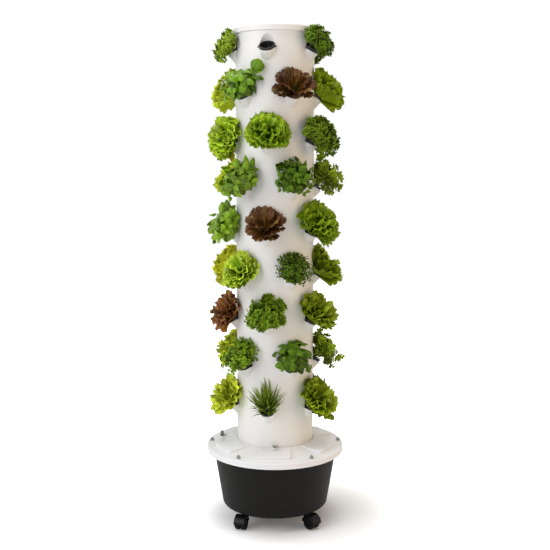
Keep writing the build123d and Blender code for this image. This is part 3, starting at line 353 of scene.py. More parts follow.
# Oval leaves: the outline is a sine, taken from just above its start to just before its end
OVAL_THICKNESS = 0.0007
OVAL_START = 0.03
OVAL_RUN = 0.94
OVAL_SHIFT = 0.85  # below 1 the widest part lies towards the stalk
OVAL_FULLNESS = 0.6  # below 1 the outline is fuller than a sine
OVAL_RIB_DEPTH = 0.06  # share of the width


def oval_leaf(length, width, crown, bend, across=4, along=6):
    """Smooth oval leaf with drawn-down margins and a sunk midrib."""
    def place(u, v):
        half = 0.5 * width * math.sin(math.pi * (OVAL_START + OVAL_RUN * v) ** OVAL_SHIFT) ** OVAL_FULLNESS
        rib = OVAL_RIB_DEPTH * width * (1 - min(1, abs(u) * 2))
        lift = -crown * width * u * u * math.sin(math.pi * v) - rib
        return bent(u * half, v * length, lift, bend, length)

    return blade_mesh("oval_leaf", across, along, place, OVAL_THICKNESS)


# Leaflets: three lobes as a swing about the mean reach, and a crinkle from noise and from the lobes
LEAFLET_THICKNESS = 0.0004
LEAFLET_GRID = (9, 2)
LEAFLET_SPREAD = 1.3  # half of the angle that a leaflet fans out over
LEAFLET_BEND = 0.6
LEAFLET_LOBES = 3
LEAFLET_START = 0.06
LEAFLET_RUN = 0.94
LOBE_MEAN = 0.82
LOBE_SWING = 0.18
CRINKLE_RATES = (2.6, 1.7, 3.7)
CRINKLE_NOISE = 1.5
CRINKLE_LOBES = 0.4


def lobed_leaflet(seed, length, crinkle):
    """Small leaflet with three blunt lobes and a crinkled margin."""
    def place(u, v):
        angle = u * LEAFLET_SPREAD
        lobe = math.cos(LEAFLET_LOBES * math.pi * u)
        reach = length * (LEAFLET_START + LEAFLET_RUN * v) * (LOBE_MEAN + LOBE_SWING * lobe)
        wave = noise.noise(Vector([value * rate for value, rate in zip((u, v, seed), CRINKLE_RATES)]))
        lift = crinkle * v * (CRINKLE_NOISE * wave + CRINKLE_LOBES * lobe)
        return bent(reach * math.sin(angle), reach * math.cos(angle), lift, LEAFLET_BEND, length)

    return blade_mesh("lobed_leaflet", *LEAFLET_GRID, place, LEAFLET_THICKNESS)


# Grass-like blades
GRASS_THICKNESS = 0.0007
GRASS_GRID = (2, 7)
GRASS_TAPER = 0.88
GRASS_TAPER_ONSET = 2.2
GRASS_FOLD = 0.35


def grass_blade(length, width, bend):
    """Narrow folded blade that tapers to a point."""
    def place(u, v):
        half = 0.5 * width * (1 - GRASS_TAPER * v ** GRASS_TAPER_ONSET)
        return bent(u * half, v * length, GRASS_FOLD * half * abs(u), bend, length)

    return blade_mesh("grass_blade", *GRASS_GRID, place, GRASS_THICKNESS)


def stem_mesh(length, radius, bend):
    """Thin stem along +Y, curved as the blades are."""
    bm = bmesh.new()
    bm.loops.layers.uv.new("blade")
    tip_radius = STEM_TAPER * radius
    bmesh.ops.create_cone(bm, cap_ends=True, segments=STEM_SIDES, radius1=radius, radius2=tip_radius,
                          depth=length)
    sides = [edge for edge in bm.edges if abs(edge.verts[0].co.z - edge.verts[1].co.z) > length / 2]
    bmesh.ops.subdivide_edges(bm, edges=sides, cuts=STEM_CUTS)
    for vert in bm.verts:
        vert.co = bent(vert.co.x, vert.co.z + length / 2, vert.co.y, bend, length)
    bmesh.ops.recalc_face_normals(bm, faces=bm.faces)
    mesh = bpy.data.meshes.new("stem")
    bm.to_mesh(mesh)
    bm.free()
    tint = mesh.attributes.new("tint", "FLOAT", "POINT")
    tint.data.foreach_set("value", np.full(len(mesh.vertices), STEM_TINT, np.float32))
    return mesh


def gathered(name, members):
    """One mesh from (mesh, matrix, tint) members; what is tinted below half of STEM_TINT keeps its tint."""
    bm = bmesh.new()
    for mesh, matrix, tint in members:
        part = mesh.copy()
        part.transform(matrix)
        values = np.zeros(len(part.vertices), np.float32)
        layer = part.attributes["tint"]
        layer.data.foreach_get("value", values)
        values = np.where(values < STEM_TINT / 2, values, values + tint)
        layer.data.foreach_set("value", values.astype(np.float32))
        bm.from_mesh(part)
        bpy.data.meshes.remove(part)
    mesh = bpy.data.meshes.new(name)
    bm.to_mesh(mesh)
    bm.free()
    return mesh


def aimed(turn, lean, roll=0.0):
    """Turns a blade so that it grows at an angle from +Z, towards a compass turn, upper side inwards."""
    grow = Vector((math.cos(turn) * math.sin(lean), math.sin(turn) * math.sin(lean), math.cos(lean)))
    upper = Vector((-math.cos(turn) * math.cos(lean), -math.sin(turn) * math.cos(lean), math.sin(lean)))
    side = grow.cross(upper)
    basis = Matrix((side, grow, upper)).transposed().to_4x4()
    return basis @ Matrix.Rotation(roll, 4, "Y")


def bent_point(along, bend, length):
    """Frame on a curved stem, some way along it."""
    place = Matrix.Translation(bent(0, along, 0, bend, length))
    return place @ Matrix.Rotation(-bend * along / length, 4, "X")


# Sprigs: a stem with leaves, more upright and smaller towards its tip, with painted shade on the leaves near
# its foot, inside the bush, and painted light on those towards its tip
SPRIG_LEAN_LOSS = 0.55
SPRIG_LEAN_JITTER = 0.15
SPRIG_FOOT_SIZE = 1.08
SPRIG_SIZE_LOSS = 0.4
SPRIG_SIZE_CHANGE = (0.85, 1.15)
SPRIG_TURN_JITTER = 0.3
SPRIG_TINT_JITTER = 0.2
# Painted shade and light along a sprig: how fast the tone rises, and the share of the stem where it is
# neither
SPRIG_PAINTED_SHADE_RISE = 0.7
SPRIG_PAINTED_SHADE_MIDDLE = 0.6


def sprig(stem_length, stem_radius, bend, leaves, ring, seed, leaf_lean, spread_turn, bare):
    """Stem along +Y with leaves above its bare share, each turned on from the one below."""
    draw = random.Random(seed)
    members = [(stem_mesh(stem_length, stem_radius, bend), Matrix.Identity(4), 0.0)]
    upright = Matrix.Rotation(math.radians(-90), 4, "X")
    for index in range(ring):
        share = index / max(1, ring - 1)
        along = stem_length * (bare + (1 - bare) * share)
        lean = leaf_lean * (1 - SPRIG_LEAN_LOSS * share) + draw.uniform(-SPRIG_LEAN_JITTER, SPRIG_LEAN_JITTER)
        size = (SPRIG_FOOT_SIZE - SPRIG_SIZE_LOSS * share) * draw.uniform(*SPRIG_SIZE_CHANGE)
        leaf = leaves[index % len(leaves)]
        turn = index * spread_turn + draw.uniform(-SPRIG_TURN_JITTER, SPRIG_TURN_JITTER)
        place = bent_point(along, bend, stem_length) @ upright @ aimed(turn, lean) @ Matrix.Scale(size, 4)
        # Painted shade and light: leaves below the sprig's middle are darkened, those above it lightened
        painted_shade = SPRIG_PAINTED_SHADE_RISE * (share - SPRIG_PAINTED_SHADE_MIDDLE)
        members.append((leaf, place, draw.uniform(-SPRIG_TINT_JITTER, SPRIG_TINT_JITTER) + painted_shade))
    return gathered("sprig", members)


# Crowns: how leaves and sprigs stand in a pocket. Leans are angles from the plant's own axis
NEAR_ZERO = 1e-4
LEAST_LEAN = 0.02
ALONG_WALL = 0.05  # cosine up to which a turn doesn't lead to the wall
WALL_LEAN_GAP = 0.05
LIP_LEAN = 1.5  # over the lip, away from the front
LEAST_LIP_LEAN = 0.7
LIP_ROOM = 0.62  # lean given up at the front by leaves that don't droop
SIDE_DROOP = 0.6  # droop given up by pockets that face away from the front
TURN_JITTER = 0.25
LEAN_JITTER = 0.1
PICK_JITTER = 0.15
LAST_PICK = 0.999  # keeps a pick within the templates


def wall_lean(turn):
    """Largest lean, towards a turn about the pocket's axis, that stays clear of the column's wall."""
    towards_wall = -math.cos(turn)
    if towards_wall <= ALONG_WALL:
        return math.pi
    return math.atan(math.tan(POCKET_TILT) / towards_wall) - WALL_LEAN_GAP


def lip_lean(turn, front_turn, droop):
    """Largest lean over the lip: smaller towards the front, most on side pockets, so that the lip shows."""
    droop -= SIDE_DROOP * (1 - max(0.0, math.cos(front_turn)))
    facing = max(0.0, math.cos(turn - front_turn))
    return max(LEAST_LIP_LEAN, LIP_LEAN - (LIP_ROOM - droop) * facing ** 2)


def crown_reach(lean, habit):
    """Distance from the plant's base to its crown's surface at an angle from the axis."""
    radius, middle, top = habit[:3]
    rise, out = math.cos(lean), max(math.sin(lean), NEAR_ZERO)
    side = radius / out
    if PLANT_BASE + side * rise <= middle:
        return side
    half_height = top - middle
    a = (out / radius) ** 2 + (rise / half_height) ** 2
    b = 2 * rise * (PLANT_BASE - middle) / half_height ** 2
    c = ((PLANT_BASE - middle) / half_height) ** 2 - 1
    return (-b + math.sqrt(b * b - 4 * a * c)) / (2 * a)


def growth(mesh, length, bend, roll=1.0):
    """A template with the length and the lean of the line from its foot to its tip."""
    tip = bent(0, length, 0, bend, length, roll)
    return mesh, tip.length, math.atan2(-tip.z, tip.y)


def crown(templates, count, habit, seed, widest, narrowest, crowd, ragged, droop, foot_spread=0.009,
          twist=0.35):
    """Members of a plant: leaves or sprigs from the cup's mouth to the crown's surface, inner ones first."""
    draw = random.Random(seed)
    members = []
    for index in range(count):
        share = (index + 0.5) / count
        turn = index * GOLDEN_TURN + draw.uniform(-TURN_JITTER, TURN_JITTER)
        lean = narrowest + (widest - narrowest) * share ** crowd + draw.uniform(-LEAN_JITTER, LEAN_JITTER)
        lean = max(LEAST_LEAN, min(lean, wall_lean(turn), lip_lean(turn, habit[3], droop)))
        spot = min(LAST_PICK, max(0, share + draw.uniform(-PICK_JITTER, PICK_JITTER)))
        mesh, chord, tip_lean = templates[int(len(templates) * spot)]
        size = crown_reach(lean, habit) / chord * draw.uniform(1 - ragged, 1.0)
        root = foot_spread * share
        foot = Matrix.Translation((root * math.cos(turn), root * math.sin(turn), PLANT_BASE))
        place = foot @ aimed(turn, lean - tip_lean, draw.uniform(-twist, twist)) @ Matrix.Scale(size, 4)
        members.append((mesh, place, draw.uniform(0.0, 1.0)))
    return members


# Salads and herbs: numbers of templates, and what all kinds of each share
SALAD_TEMPLATES = 6
SALAD_CURVE = 0.45  # of the innermost template, as a share of the kind's bend
SALAD_CURVE_STEP = 0.14
SALAD_RAGGED = 0.12
SALAD_DROOP = 0.42
SPRIG_TEMPLATES = 4
SPRIG_BEND = 0.7
HERB_WIDEST = 1.28
HERB_NARROWEST = 0.05
HERB_CROWD = 0.62
PAIRED_TURN = math.radians(92)  # basil leaves stand almost square to the ones below
BROAD_TURN = math.radians(93)


def salad(seed, habit, count, frill, waves, scallop=0.06, lobes=0, lobe_depth=0.0, spread=1.0, rounding=0.2,
          bend=0.9, hollow=0.0, crowd=0.75, widest=1.38, narrowest=0.12):
    """Head of broad leaves, the outer ones more curved."""
    leaves = []
    for step in range(SALAD_TEMPLATES):
        curve = bend * (SALAD_CURVE + SALAD_CURVE_STEP * step)
        leaf = fan_leaf(seed * 10 + step, UNIT, spread, frill, waves, scallop, lobes, lobe_depth, rounding,
                        curve, hollow)
        leaves.append(growth(leaf, UNIT, curve, SALAD_ROLL))
    return crown(leaves, count, habit, seed, widest, narrowest, crowd, SALAD_RAGGED, SALAD_DROOP)


def herb(seed, habit, leaves, count, ring, leaf_lean, bare=0.5, stem=0.0009, ragged=0.18,
         spread_turn=GOLDEN_TURN, droop=0.08):
    """Bush of sprigs; a wider habit carries more of them."""
    sprigs = []
    for step in range(SPRIG_TEMPLATES):
        shoot = sprig(UNIT, stem, SPRIG_BEND, leaves, ring, seed * 10 + step, leaf_lean, spread_turn, bare)
        sprigs.append(growth(shoot, UNIT, SPRIG_BEND))
    count = round(count * (habit[0] / FINE_HERB[0]) ** 2)
    return crown(sprigs, count, habit, seed, HERB_WIDEST, HERB_NARROWEST, HERB_CROWD, ragged, droop)


# Kinds of plant. Oval leaves have a length, width, crown, bend and grid, leaflets a seed, length and crinkle
def frilly_lettuce(seed, habit):
    return salad(seed, habit, count=26, frill=0.0066, waves=7)


def red_lettuce(seed, habit):
    return salad(seed, habit, count=18, frill=0.003, waves=7, scallop=0.08, spread=0.78, rounding=0.42,
                 bend=1.0, crowd=0.6, widest=1.45)


def narrow_lettuce(seed, habit):
    return salad(seed, habit, count=28, frill=0.0046, waves=4, scallop=0.07, spread=0.47, rounding=0.34,
                 bend=1.0, crowd=0.62, widest=1.45)


def oak_lettuce(seed, habit):
    return salad(seed, habit, count=26, frill=0.0058, waves=5, scallop=0.07, lobes=5, lobe_depth=0.22,
                 spread=0.8, rounding=0.3)


def butter_lettuce(seed, habit):
    return salad(seed, habit, count=22, frill=0.0052, waves=6, scallop=0.07, spread=1.05, rounding=0.25,
                 bend=0.8, hollow=0.06)


def fan_lettuce(seed, habit):
    return salad(seed, habit, count=11, frill=0.0042, waves=7, scallop=0.08, lobes=9, lobe_depth=0.06,
                 spread=1.2, rounding=0.1, bend=0.5, narrowest=0.25)


def endive(seed, habit):
    return salad(seed, habit, count=40, frill=0.0058, waves=4, scallop=0.1, lobes=5, lobe_depth=0.25,
                 spread=0.55, rounding=0.3)


def basil(seed, habit):
    leaves = [oval_leaf(0.038, 0.029, 0.42, 0.9), oval_leaf(0.03, 0.024, 0.46, 1.1)]
    return herb(seed, habit, leaves, count=19, ring=7, leaf_lean=1.35, stem=0.0015, spread_turn=PAIRED_TURN)


def broad_basil(seed, habit):
    leaves = [oval_leaf(0.046, 0.039, 0.4, 1.5), oval_leaf(0.038, 0.033, 0.44, 1.6)]
    return herb(seed, habit, leaves, count=14, ring=6, leaf_lean=1.3, stem=0.0016, spread_turn=BROAD_TURN)


def bush_basil(seed, habit):
    leaves = [oval_leaf(0.031, 0.025, 0.42, 0.9), oval_leaf(0.024, 0.02, 0.46, 1.1)]
    return herb(seed, habit, leaves, count=27, ring=7, leaf_lean=1.3, stem=0.0013, spread_turn=PAIRED_TURN,
                ragged=0.1)


def curly_parsley(seed, habit):
    leaves = [lobed_leaflet(n, 0.0205, 0.005) for n in range(3)]
    return herb(seed, habit, leaves, count=54, ring=6, leaf_lean=1.3, bare=0.6)


def flat_parsley(seed, habit):
    leaves = [lobed_leaflet(n + 5, 0.022, 0.002) for n in range(3)]
    return herb(seed, habit, leaves, count=50, ring=6, leaf_lean=1.3, bare=0.62, ragged=0.14, droop=0.12)


def coriander(seed, habit):
    leaves = [lobed_leaflet(n + 9, 0.019, 0.002) for n in range(3)]
    return herb(seed, habit, leaves, count=22, ring=6, leaf_lean=1.15, bare=0.58, stem=0.0011, ragged=0.34)


def round_herb(seed, habit):
    leaves = [oval_leaf(0.0145, 0.013, 0.2, 0.5, 2, 4), oval_leaf(0.012, 0.0115, 0.2, 0.6, 2, 4)]
    return herb(seed, habit, leaves, count=60, ring=8, leaf_lean=1.25, ragged=0.12, droop=0.3)


def fine_herb(seed, habit):
    leaves = [oval_leaf(0.0125, 0.0095, 0.15, 0.5, 2, 3), oval_leaf(0.0105, 0.008, 0.15, 0.6, 2, 3)]
    return herb(seed, habit, leaves, count=100, ring=9, leaf_lean=1.3, bare=0.6, ragged=0.06, droop=0.32)


def chives(seed, habit):
    width = 0.0048
    blades = [growth(grass_blade(UNIT, width, bend), UNIT, bend) for bend in (0.2, 0.35, 0.5, 0.7)]
    return crown(blades, 130, habit, seed, widest=0.95, narrowest=0.03, crowd=0.95, ragged=0.4, droop=0.3,
                 foot_spread=0.019, twist=1.4)


def high_shoot(seed, habit):
    """One shoot that stands out above its plant, its top leaf turned to the light."""
    length, tip_along = 0.092, 0.087
    turn, lean, tip_roll = math.radians(100), 0.75, math.radians(109)
    leaves = [oval_leaf(0.032, 0.027, 0.3, 0.8), oval_leaf(0.024, 0.02, 0.3, 0.8)]
    shoot = sprig(length, stem_radius=0.0015, bend=0.15, leaves=leaves, ring=4, seed=seed, leaf_lean=0.9,
                  spread_turn=math.radians(150), bare=0.6)
    tip = oval_leaf(0.042, 0.046, 0.34, 0.5, 6, 8)
    foot = Matrix.Translation((0, 0, PLANT_BASE))
    top = foot @ aimed(turn, lean, tip_roll) @ Matrix.Translation((0, tip_along, 0))
    return [(shoot, foot @ aimed(turn, lean), 0.5), (tip, top, 0.6)]


def blossoms(seed, habit):
    """A few tiny flowers between the leaves."""
    flowers, petals, petal_lean, stand_off = 9, 4, 1.2, 0.006
    draw = random.Random(seed)
    petal = oval_leaf(0.004, 0.003, 0.2, 0.3, 2, 2)
    members = []
    for _ in range(flowers):
        turn, lean = draw.uniform(-1.2, 0.4), draw.uniform(0.5, 0.85)
        spot = aimed(turn, lean) @ Matrix.Translation((0, crown_reach(lean, habit) + stand_off, 0))
        for step in range(petals):
            members.append((petal, spot @ aimed(step * 2 * math.pi / petals, petal_lean), 0.5))
    return members


OLD_LEAF_FOOT = (0.008, 0.004)


def old_leaf(turn, lean):
    """Kind with one spent leaf that hangs over the lip towards a turn in degrees."""
    def kind(seed, habit):
        leaf = fan_leaf(seed, length=0.062, spread=0.45, frill=0.004, waves=3, scallop=0.06, lobes=0,
                        lobe_depth=0.0, rounding=0.3, bend=1.3, hollow=0.0)
        foot = Matrix.Translation((*OLD_LEAF_FOOT, PLANT_BASE))
        return [(leaf, foot @ aimed(math.radians(turn), lean), 0.5)]

    return kind


# Leaf colours: heart, body, margin, vein. Besides each leaf's own colouring, a darker heart carries painted
# shade from inside the plant and a lighter margin painted light on its outside
LEAF_COLORS = {
    "bright_lettuce": ((0.2, 0.34, 0.015), (0.13, 0.285, 0.006), (0.34, 0.5, 0.022), (0.4, 0.53, 0.1)),
    "fresh_lettuce": ((0.45, 0.6, 0.05), (0.34, 0.54, 0.014), (0.54, 0.72, 0.045), (0.55, 0.66, 0.18)),
    "deep_lettuce": ((0.17, 0.28, 0.012), (0.11, 0.2, 0.005), (0.3, 0.42, 0.016), (0.28, 0.37, 0.06)),
    "pale_lettuce": ((0.44, 0.58, 0.06), (0.29, 0.49, 0.014), (0.5, 0.64, 0.05), (0.55, 0.64, 0.18)),
    "olive_lettuce": ((0.26, 0.36, 0.015), (0.165, 0.25, 0.004), (0.27, 0.35, 0.012), (0.32, 0.4, 0.06)),
    "rib_lettuce": ((0.32, 0.43, 0.016), (0.21, 0.305, 0.0045), (0.33, 0.43, 0.015), (0.42, 0.52, 0.08)),
    "lime_lettuce": ((0.66, 0.76, 0.06), (0.56, 0.72, 0.018), (0.76, 0.84, 0.07), (0.7, 0.76, 0.18)),
    "red_lettuce": ((0.18, 0.14, 0.016), (0.135, 0.055, 0.01), (0.108, 0.039, 0.014), (0.36, 0.27, 0.05)),
    "rust_lettuce": ((0.17, 0.1, 0.018), (0.21, 0.08, 0.022), (0.27, 0.11, 0.04), (0.5, 0.34, 0.07)),
    "blushed_lettuce": ((0.84, 0.94, 0.06), (0.82, 0.96, 0.03), (0.92, 0.92, 0.07), (0.8, 0.85, 0.18)),
    "basil": ((0.12, 0.25, 0.004), (0.115, 0.243, 0.004), (0.15, 0.3, 0.006), (0.28, 0.44, 0.05)),
    "dark_basil": ((0.06, 0.13, 0.002), (0.06, 0.128, 0.002), (0.095, 0.185, 0.003), (0.18, 0.28, 0.03)),
    "light_basil": ((0.155, 0.29, 0.005), (0.15, 0.285, 0.005), (0.22, 0.37, 0.01), (0.34, 0.48, 0.06)),
    "parsley": ((0.044, 0.088, 0.003), (0.068, 0.128, 0.0035), (0.18, 0.27, 0.013), (0.2, 0.28, 0.04)),
    "light_parsley": ((0.1, 0.18, 0.006), (0.16, 0.28, 0.009), (0.36, 0.48, 0.04), (0.34, 0.44, 0.08)),
    "coriander": ((0.18, 0.28, 0.005), (0.18, 0.28, 0.005), (0.27, 0.38, 0.018), (0.38, 0.5, 0.07)),
    "mint": ((0.05, 0.1, 0.003), (0.07, 0.148, 0.0035), (0.2, 0.32, 0.014), (0.2, 0.3, 0.04)),
    "thyme": ((0.04, 0.08, 0.003), (0.056, 0.114, 0.0035), (0.15, 0.25, 0.014), (0.15, 0.22, 0.03)),
    "oregano": ((0.105, 0.21, 0.007), (0.13, 0.25, 0.007), (0.29, 0.43, 0.022), (0.28, 0.4, 0.06)),
    "chives": ((0.05, 0.075, 0.01), (0.13, 0.2, 0.012), (0.27, 0.38, 0.035), (0.16, 0.22, 0.02)),
    "spent_yellow": ((0.6, 0.6, 0.05), (0.66, 0.58, 0.02), (0.6, 0.45, 0.03), (0.65, 0.62, 0.2)),
    "spent_orange": ((0.5, 0.25, 0.02), (0.6, 0.25, 0.02), (0.5, 0.15, 0.02), (0.6, 0.35, 0.08)),
    "blossom": ((0.8, 0.8, 0.72), (0.85, 0.85, 0.8), (0.85, 0.85, 0.82), (0.8, 0.8, 0.6)),
}
# Roughness and specular level, where they differ from a green lettuce's
LETTUCE_GLOSS = (0.5, 0.12)
LEAF_GLOSS = {
    "red_lettuce": (0.4, 0.25),
    "rust_lettuce": (0.42, 0.2),
    "basil": (0.3, 0.24),
    "dark_basil": (0.34, 0.14),
    "light_basil": (0.32, 0.24),
    "parsley": (0.5, 0.1),
    "light_parsley": (0.5, 0.1),
    "coriander": (0.5, 0.1),
    "mint": (0.5, 0.1),
    "thyme": (0.5, 0.1),
    "oregano": (0.48, 0.12),
    "chives": (0.45, 0.15),
    "spent_yellow": (0.6, 0.1),
    "spent_orange": (0.6, 0.1),
    "blossom": (0.6, 0.1),
}
RIBBED = ("rib_lettuce",)  # leaves with ribs that fan out
leaf_finishes = {}
for name, colors in LEAF_COLORS.items():
    veins = FAN_RIBS if name in RIBBED else SIDE_VEINS
    leaf_finishes[name] = leaf_finish(name + "_leaf", colors, LEAF_GLOSS.get(name, LETTUCE_GLOSS), veins)

# What grows in each pocket, tier by tier, from the pocket nearest the front towards +X
PLANTING = (
    (None, (curly_parsley, "thyme", YOUNG_HERB), (flat_parsley, "mint", YOUNG_HERB),
     (basil, "basil", YOUNG_HERB), (flat_parsley, "light_parsley", SEEDLING)),
    ((red_lettuce, "red_lettuce", ROSETTE), (fan_lettuce, "rib_lettuce", WIDE_FAN),
     (curly_parsley, "parsley", FINE_HERB), (frilly_lettuce, "lime_lettuce", FULL_ROSETTE),
     (broad_basil, "basil", LEAFY_HERB)),
    ((frilly_lettuce, "bright_lettuce", ROSETTE), (curly_parsley, "parsley", LOW_HERB),
     (basil, "basil", LEAFY_HERB), (red_lettuce, "red_lettuce", ROSETTE),
     (frilly_lettuce, "fresh_lettuce", ROSETTE)),
    ((bush_basil, "dark_basil", LEAFY_HERB), (coriander, "coriander", AIRY_HERB),
     (frilly_lettuce, "deep_lettuce", ROSETTE), (oak_lettuce, "lime_lettuce", ROSETTE),
     (basil, "light_basil", FULL_HERB)),
    ((red_lettuce, "red_lettuce", ROSETTE), (frilly_lettuce, "deep_lettuce", FULL_ROSETTE),
     (flat_parsley, "mint", FINE_HERB), (butter_lettuce, "pale_lettuce", ROSETTE),
     (basil, "light_basil", LEAFY_HERB)),
    ((fine_herb, "thyme", CLIPPED_HERB), (fan_lettuce, "rib_lettuce", WIDE_FAN),
     (red_lettuce, "red_lettuce", ROSETTE), (frilly_lettuce, "blushed_lettuce", FULL_ROSETTE),
     (butter_lettuce, "pale_lettuce", SMALL_HEAD)),
    ((flat_parsley, "mint", FINE_HERB), (oak_lettuce, "olive_lettuce", FULL_ROSETTE),
     (basil, "basil", YOUNG_HERB), (chives, "chives", BLADES), (narrow_lettuce, "rust_lettuce", ROSETTE)),
    ((broad_basil, "dark_basil", COMPACT_HERB), (coriander, "coriander", AIRY_HERB),
     (frilly_lettuce, "bright_lettuce", ROSETTE), (oak_lettuce, "lime_lettuce", ROSETTE),
     (round_herb, "oregano", FULL_HERB)),
    ((chives, "chives", BLADES), (oak_lettuce, "rib_lettuce", WIDE_FAN),
     (curly_parsley, "parsley", YOUNG_HERB), (frilly_lettuce, "deep_lettuce", ROSETTE),
     (endive, "lime_lettuce", FULL_ROSETTE)),
)
# Growth of its own beside the plant in a pocket: tier, pocket, kind, colours
EXTRAS = (
    (2, 4, high_shoot, "basil"),
    (2, 4, blossoms, "blossom"),
    (3, 4, old_leaf(48, 1.3), "spent_yellow"),
    (7, 4, old_leaf(26, 1.1), "spent_orange"),
)
# Plants away from the front are a little fuller. Lean, in degrees: further out than the pocket, and sideways,
# where plus is to the left as seen from outside. Tier and pocket come first
SIDE_GROWTH = 1.07
SIDE_LEAN = (11, 0)
FRONT_LEAN = (0, 0)
LEANINGS = {
    (1, 1): (16, 0), (1, 4): (19, -26), (2, 0): (0, 9), (2, 4): (-14, 0), (3, 0): (4, -12), (3, 1): (20, 8),
    (3, 4): (26, -26), (4, 0): (4, 9), (4, 4): (10, -8), (5, 1): (7, 0), (5, 4): (19, -20), (6, 3): (22, 0),
    (6, 4): (9, 0), (7, 4): (12, -18), (8, 0): (-6, 0), (9, 4): (7, -18),
}
SHARP_ANGLE = math.radians(82)  # blade edges stay crisp from this angle on


def pocket_frame(tier, index):
    """Frame at a pocket's rim: Z along its leaning axis, X outwards, Y sideways."""
    step = 2 * math.pi / POCKETS
    turn = FIRST_POCKET + index * step + (step / 2 if tier % 2 == 0 else 0)
    height = TOP_SEAM - (tier - 1) * TIER_PITCH
    place = Matrix.Translation((POCKET_RADIUS * math.cos(turn), POCKET_RADIUS * math.sin(turn), height))
    return place @ Matrix.Rotation(turn, 4, "Z") @ Matrix.Rotation(POCKET_TILT, 4, "Y")


def keep_off_wall(mesh, tier, pocket):
    """Presses leaves that would enter the column or the cap's edge back out beside it."""
    points = np.zeros(len(mesh.vertices) * 3, np.float64)
    mesh.vertices.foreach_get("co", points)
    points = points.reshape(-1, 3)
    into_pocket = np.array(pocket.inverted())
    local = points @ into_pocket[:3, :3].T + into_pocket[:3, 3]
    from_axis = np.hypot(points[:, 0], points[:, 1])
    limit = (CAP_RADIUS if tier == 1 else COLUMN_RADIUS) + WALL_GAP
    limit = np.where(np.hypot(local[:, 0], local[:, 1]) < CUP_MOUTH, 0.0, limit)
    pressed = np.maximum(from_axis, limit + PRESS_SPREAD * np.maximum(0, limit - from_axis))
    scale = np.where(from_axis < limit, pressed / np.maximum(from_axis, NEAR_ZERO), 1.0)
    points[:, :2] *= scale[:, None]
    mesh.vertices.foreach_set("co", points.ravel())


def plant_tier(tier):
    """All plants of a tier as one piece on the tower."""
    bm = bmesh.new()
    finishes = []
    growing = [(index, *site) for index, site in enumerate(PLANTING[tier - 1]) if site]
    for at_tier, index, kind, color in EXTRAS:
        if at_tier == tier:
            growing.append((index, kind, color, PLANTING[tier - 1][index][2]))
    for index, kind, color, habit in growing:
        pocket = pocket_frame(tier, index)
        in_front = index == 0 or (tier % 2 == 0 and index == POCKETS - 1)
        if not in_front:
            habit = tuple(SIDE_GROWTH * size for size in habit)
        # A kind gets the habit and the turn of the pocket's side that faces the front
        front = pocket.to_3x3().inverted() @ Vector((0, -1, 0))
        front_turn = math.atan2(front.y, front.x)
        plant = gathered("plant", kind(tier * 10 + index, (*habit, front_turn)))
        out, across = LEANINGS.get((tier, index), FRONT_LEAN if in_front else SIDE_LEAN)
        leaning = Matrix.Rotation(math.radians(across), 4, "X") @ Matrix.Rotation(math.radians(out), 4, "Y")
        plant.transform(pocket @ leaning)
        keep_off_wall(plant, tier, pocket)
        plant.polygons.foreach_set("material_index", np.full(len(plant.polygons), len(finishes), np.int32))
        finishes.append(leaf_finishes[color])
        bm.from_mesh(plant)
        bpy.data.meshes.remove(plant)
    name = f"tier_{tier}_plants"
    mesh = bpy.data.meshes.new(name)
    bm.to_mesh(mesh)
    bm.free()
    mesh.shade_smooth()
    mesh.set_sharp_from_angle(angle=SHARP_ANGLE)
    for material in finishes:
        mesh.materials.append(material)
    piece = bpy.data.objects.new(name, mesh)
    bpy.context.scene.collection.objects.link(piece)
    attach(piece, "tower")
    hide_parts(f"plants_tier_{tier}")


for tier in range(1, TIERS + 1):
    plant_tier(tier)

# Plastics by material slot: two tones, roughness, scale of the grain, specular level
PLASTICS = {
    "column_white": ((0.86, 0.845, 0.84), (0.83, 0.815, 0.8), 0.36, 700, 0.5),
    "lid_white": ((0.845, 0.845, 0.87), (0.815, 0.815, 0.84), 0.36, 600, 0.5),
    "tub_black": ((0.0085, 0.008, 0.0076), (0.0062, 0.0058, 0.0055), 0.48, 900, 0.15),
    "cup_black": ((0.014, 0.014, 0.015), (0.01, 0.01, 0.01), 0.4, 900, 0.5),
    "gland_grey": ((0.17, 0.16, 0.15), (0.12, 0.11, 0.105), 0.4, 900, 0.5),
    "pipe_grey": ((0.6, 0.61, 0.62), (0.56, 0.57, 0.58), 0.4, 500, 0.5),
    "pump_black": ((0.02, 0.02, 0.022), (0.014, 0.014, 0.015), 0.3, 700, 0.5),
    "rubber": ((0.02, 0.02, 0.02), (0.014, 0.014, 0.014), 0.7, 900, 0.3),
    "caster_black": ((0.004, 0.004, 0.0045), (0.003, 0.003, 0.003), 0.26, 900, 0.16),
    "wheel_black": ((0.005, 0.005, 0.0055), (0.004, 0.004, 0.004), 0.32, 800, 0.16),
}
# Metals by material slot: two tones, roughness
METALS = {
    "zinc": ((0.42, 0.4, 0.37), (0.25, 0.24, 0.22), 0.42),
    "rotor_dark": ((0.12, 0.12, 0.13), (0.06, 0.06, 0.07), 0.4),
    "pin_steel": ((0.5, 0.5, 0.5), (0.35, 0.35, 0.35), 0.3),
}
slot_finishes = {"plug_fibre": plug_fibre()}
for slot, look in PLASTICS.items():
    slot_finishes[slot] = moulded_plastic(slot, *look)
for slot, look in METALS.items():
    slot_finishes[slot] = plated_metal(slot, *look)
node_slots = {row["node"]: row["material_slot"] for row in frame["record"]["subparts"]}
for name, node in nodes.items():
    finish = slot_finishes.get(node_slots[name])
    if finish:
        node.data.materials.clear()
        node.data.materials.append(finish)

# Floor: pale and plain, running out to white for the camera beyond the tower's shadow
FLOOR_HALF = 6
FLOOR_COLOR = (0.945, 0.96, 0.985)
SHADOW_CENTRE = (0.09, -0.02, 0.0)
SHADOW_FADE = (0.12, 0.62)  # where the floor starts to run out to white, and where it is white
SHADOW_GLOW = 0.07  # what the floor adds of its own in the shadow


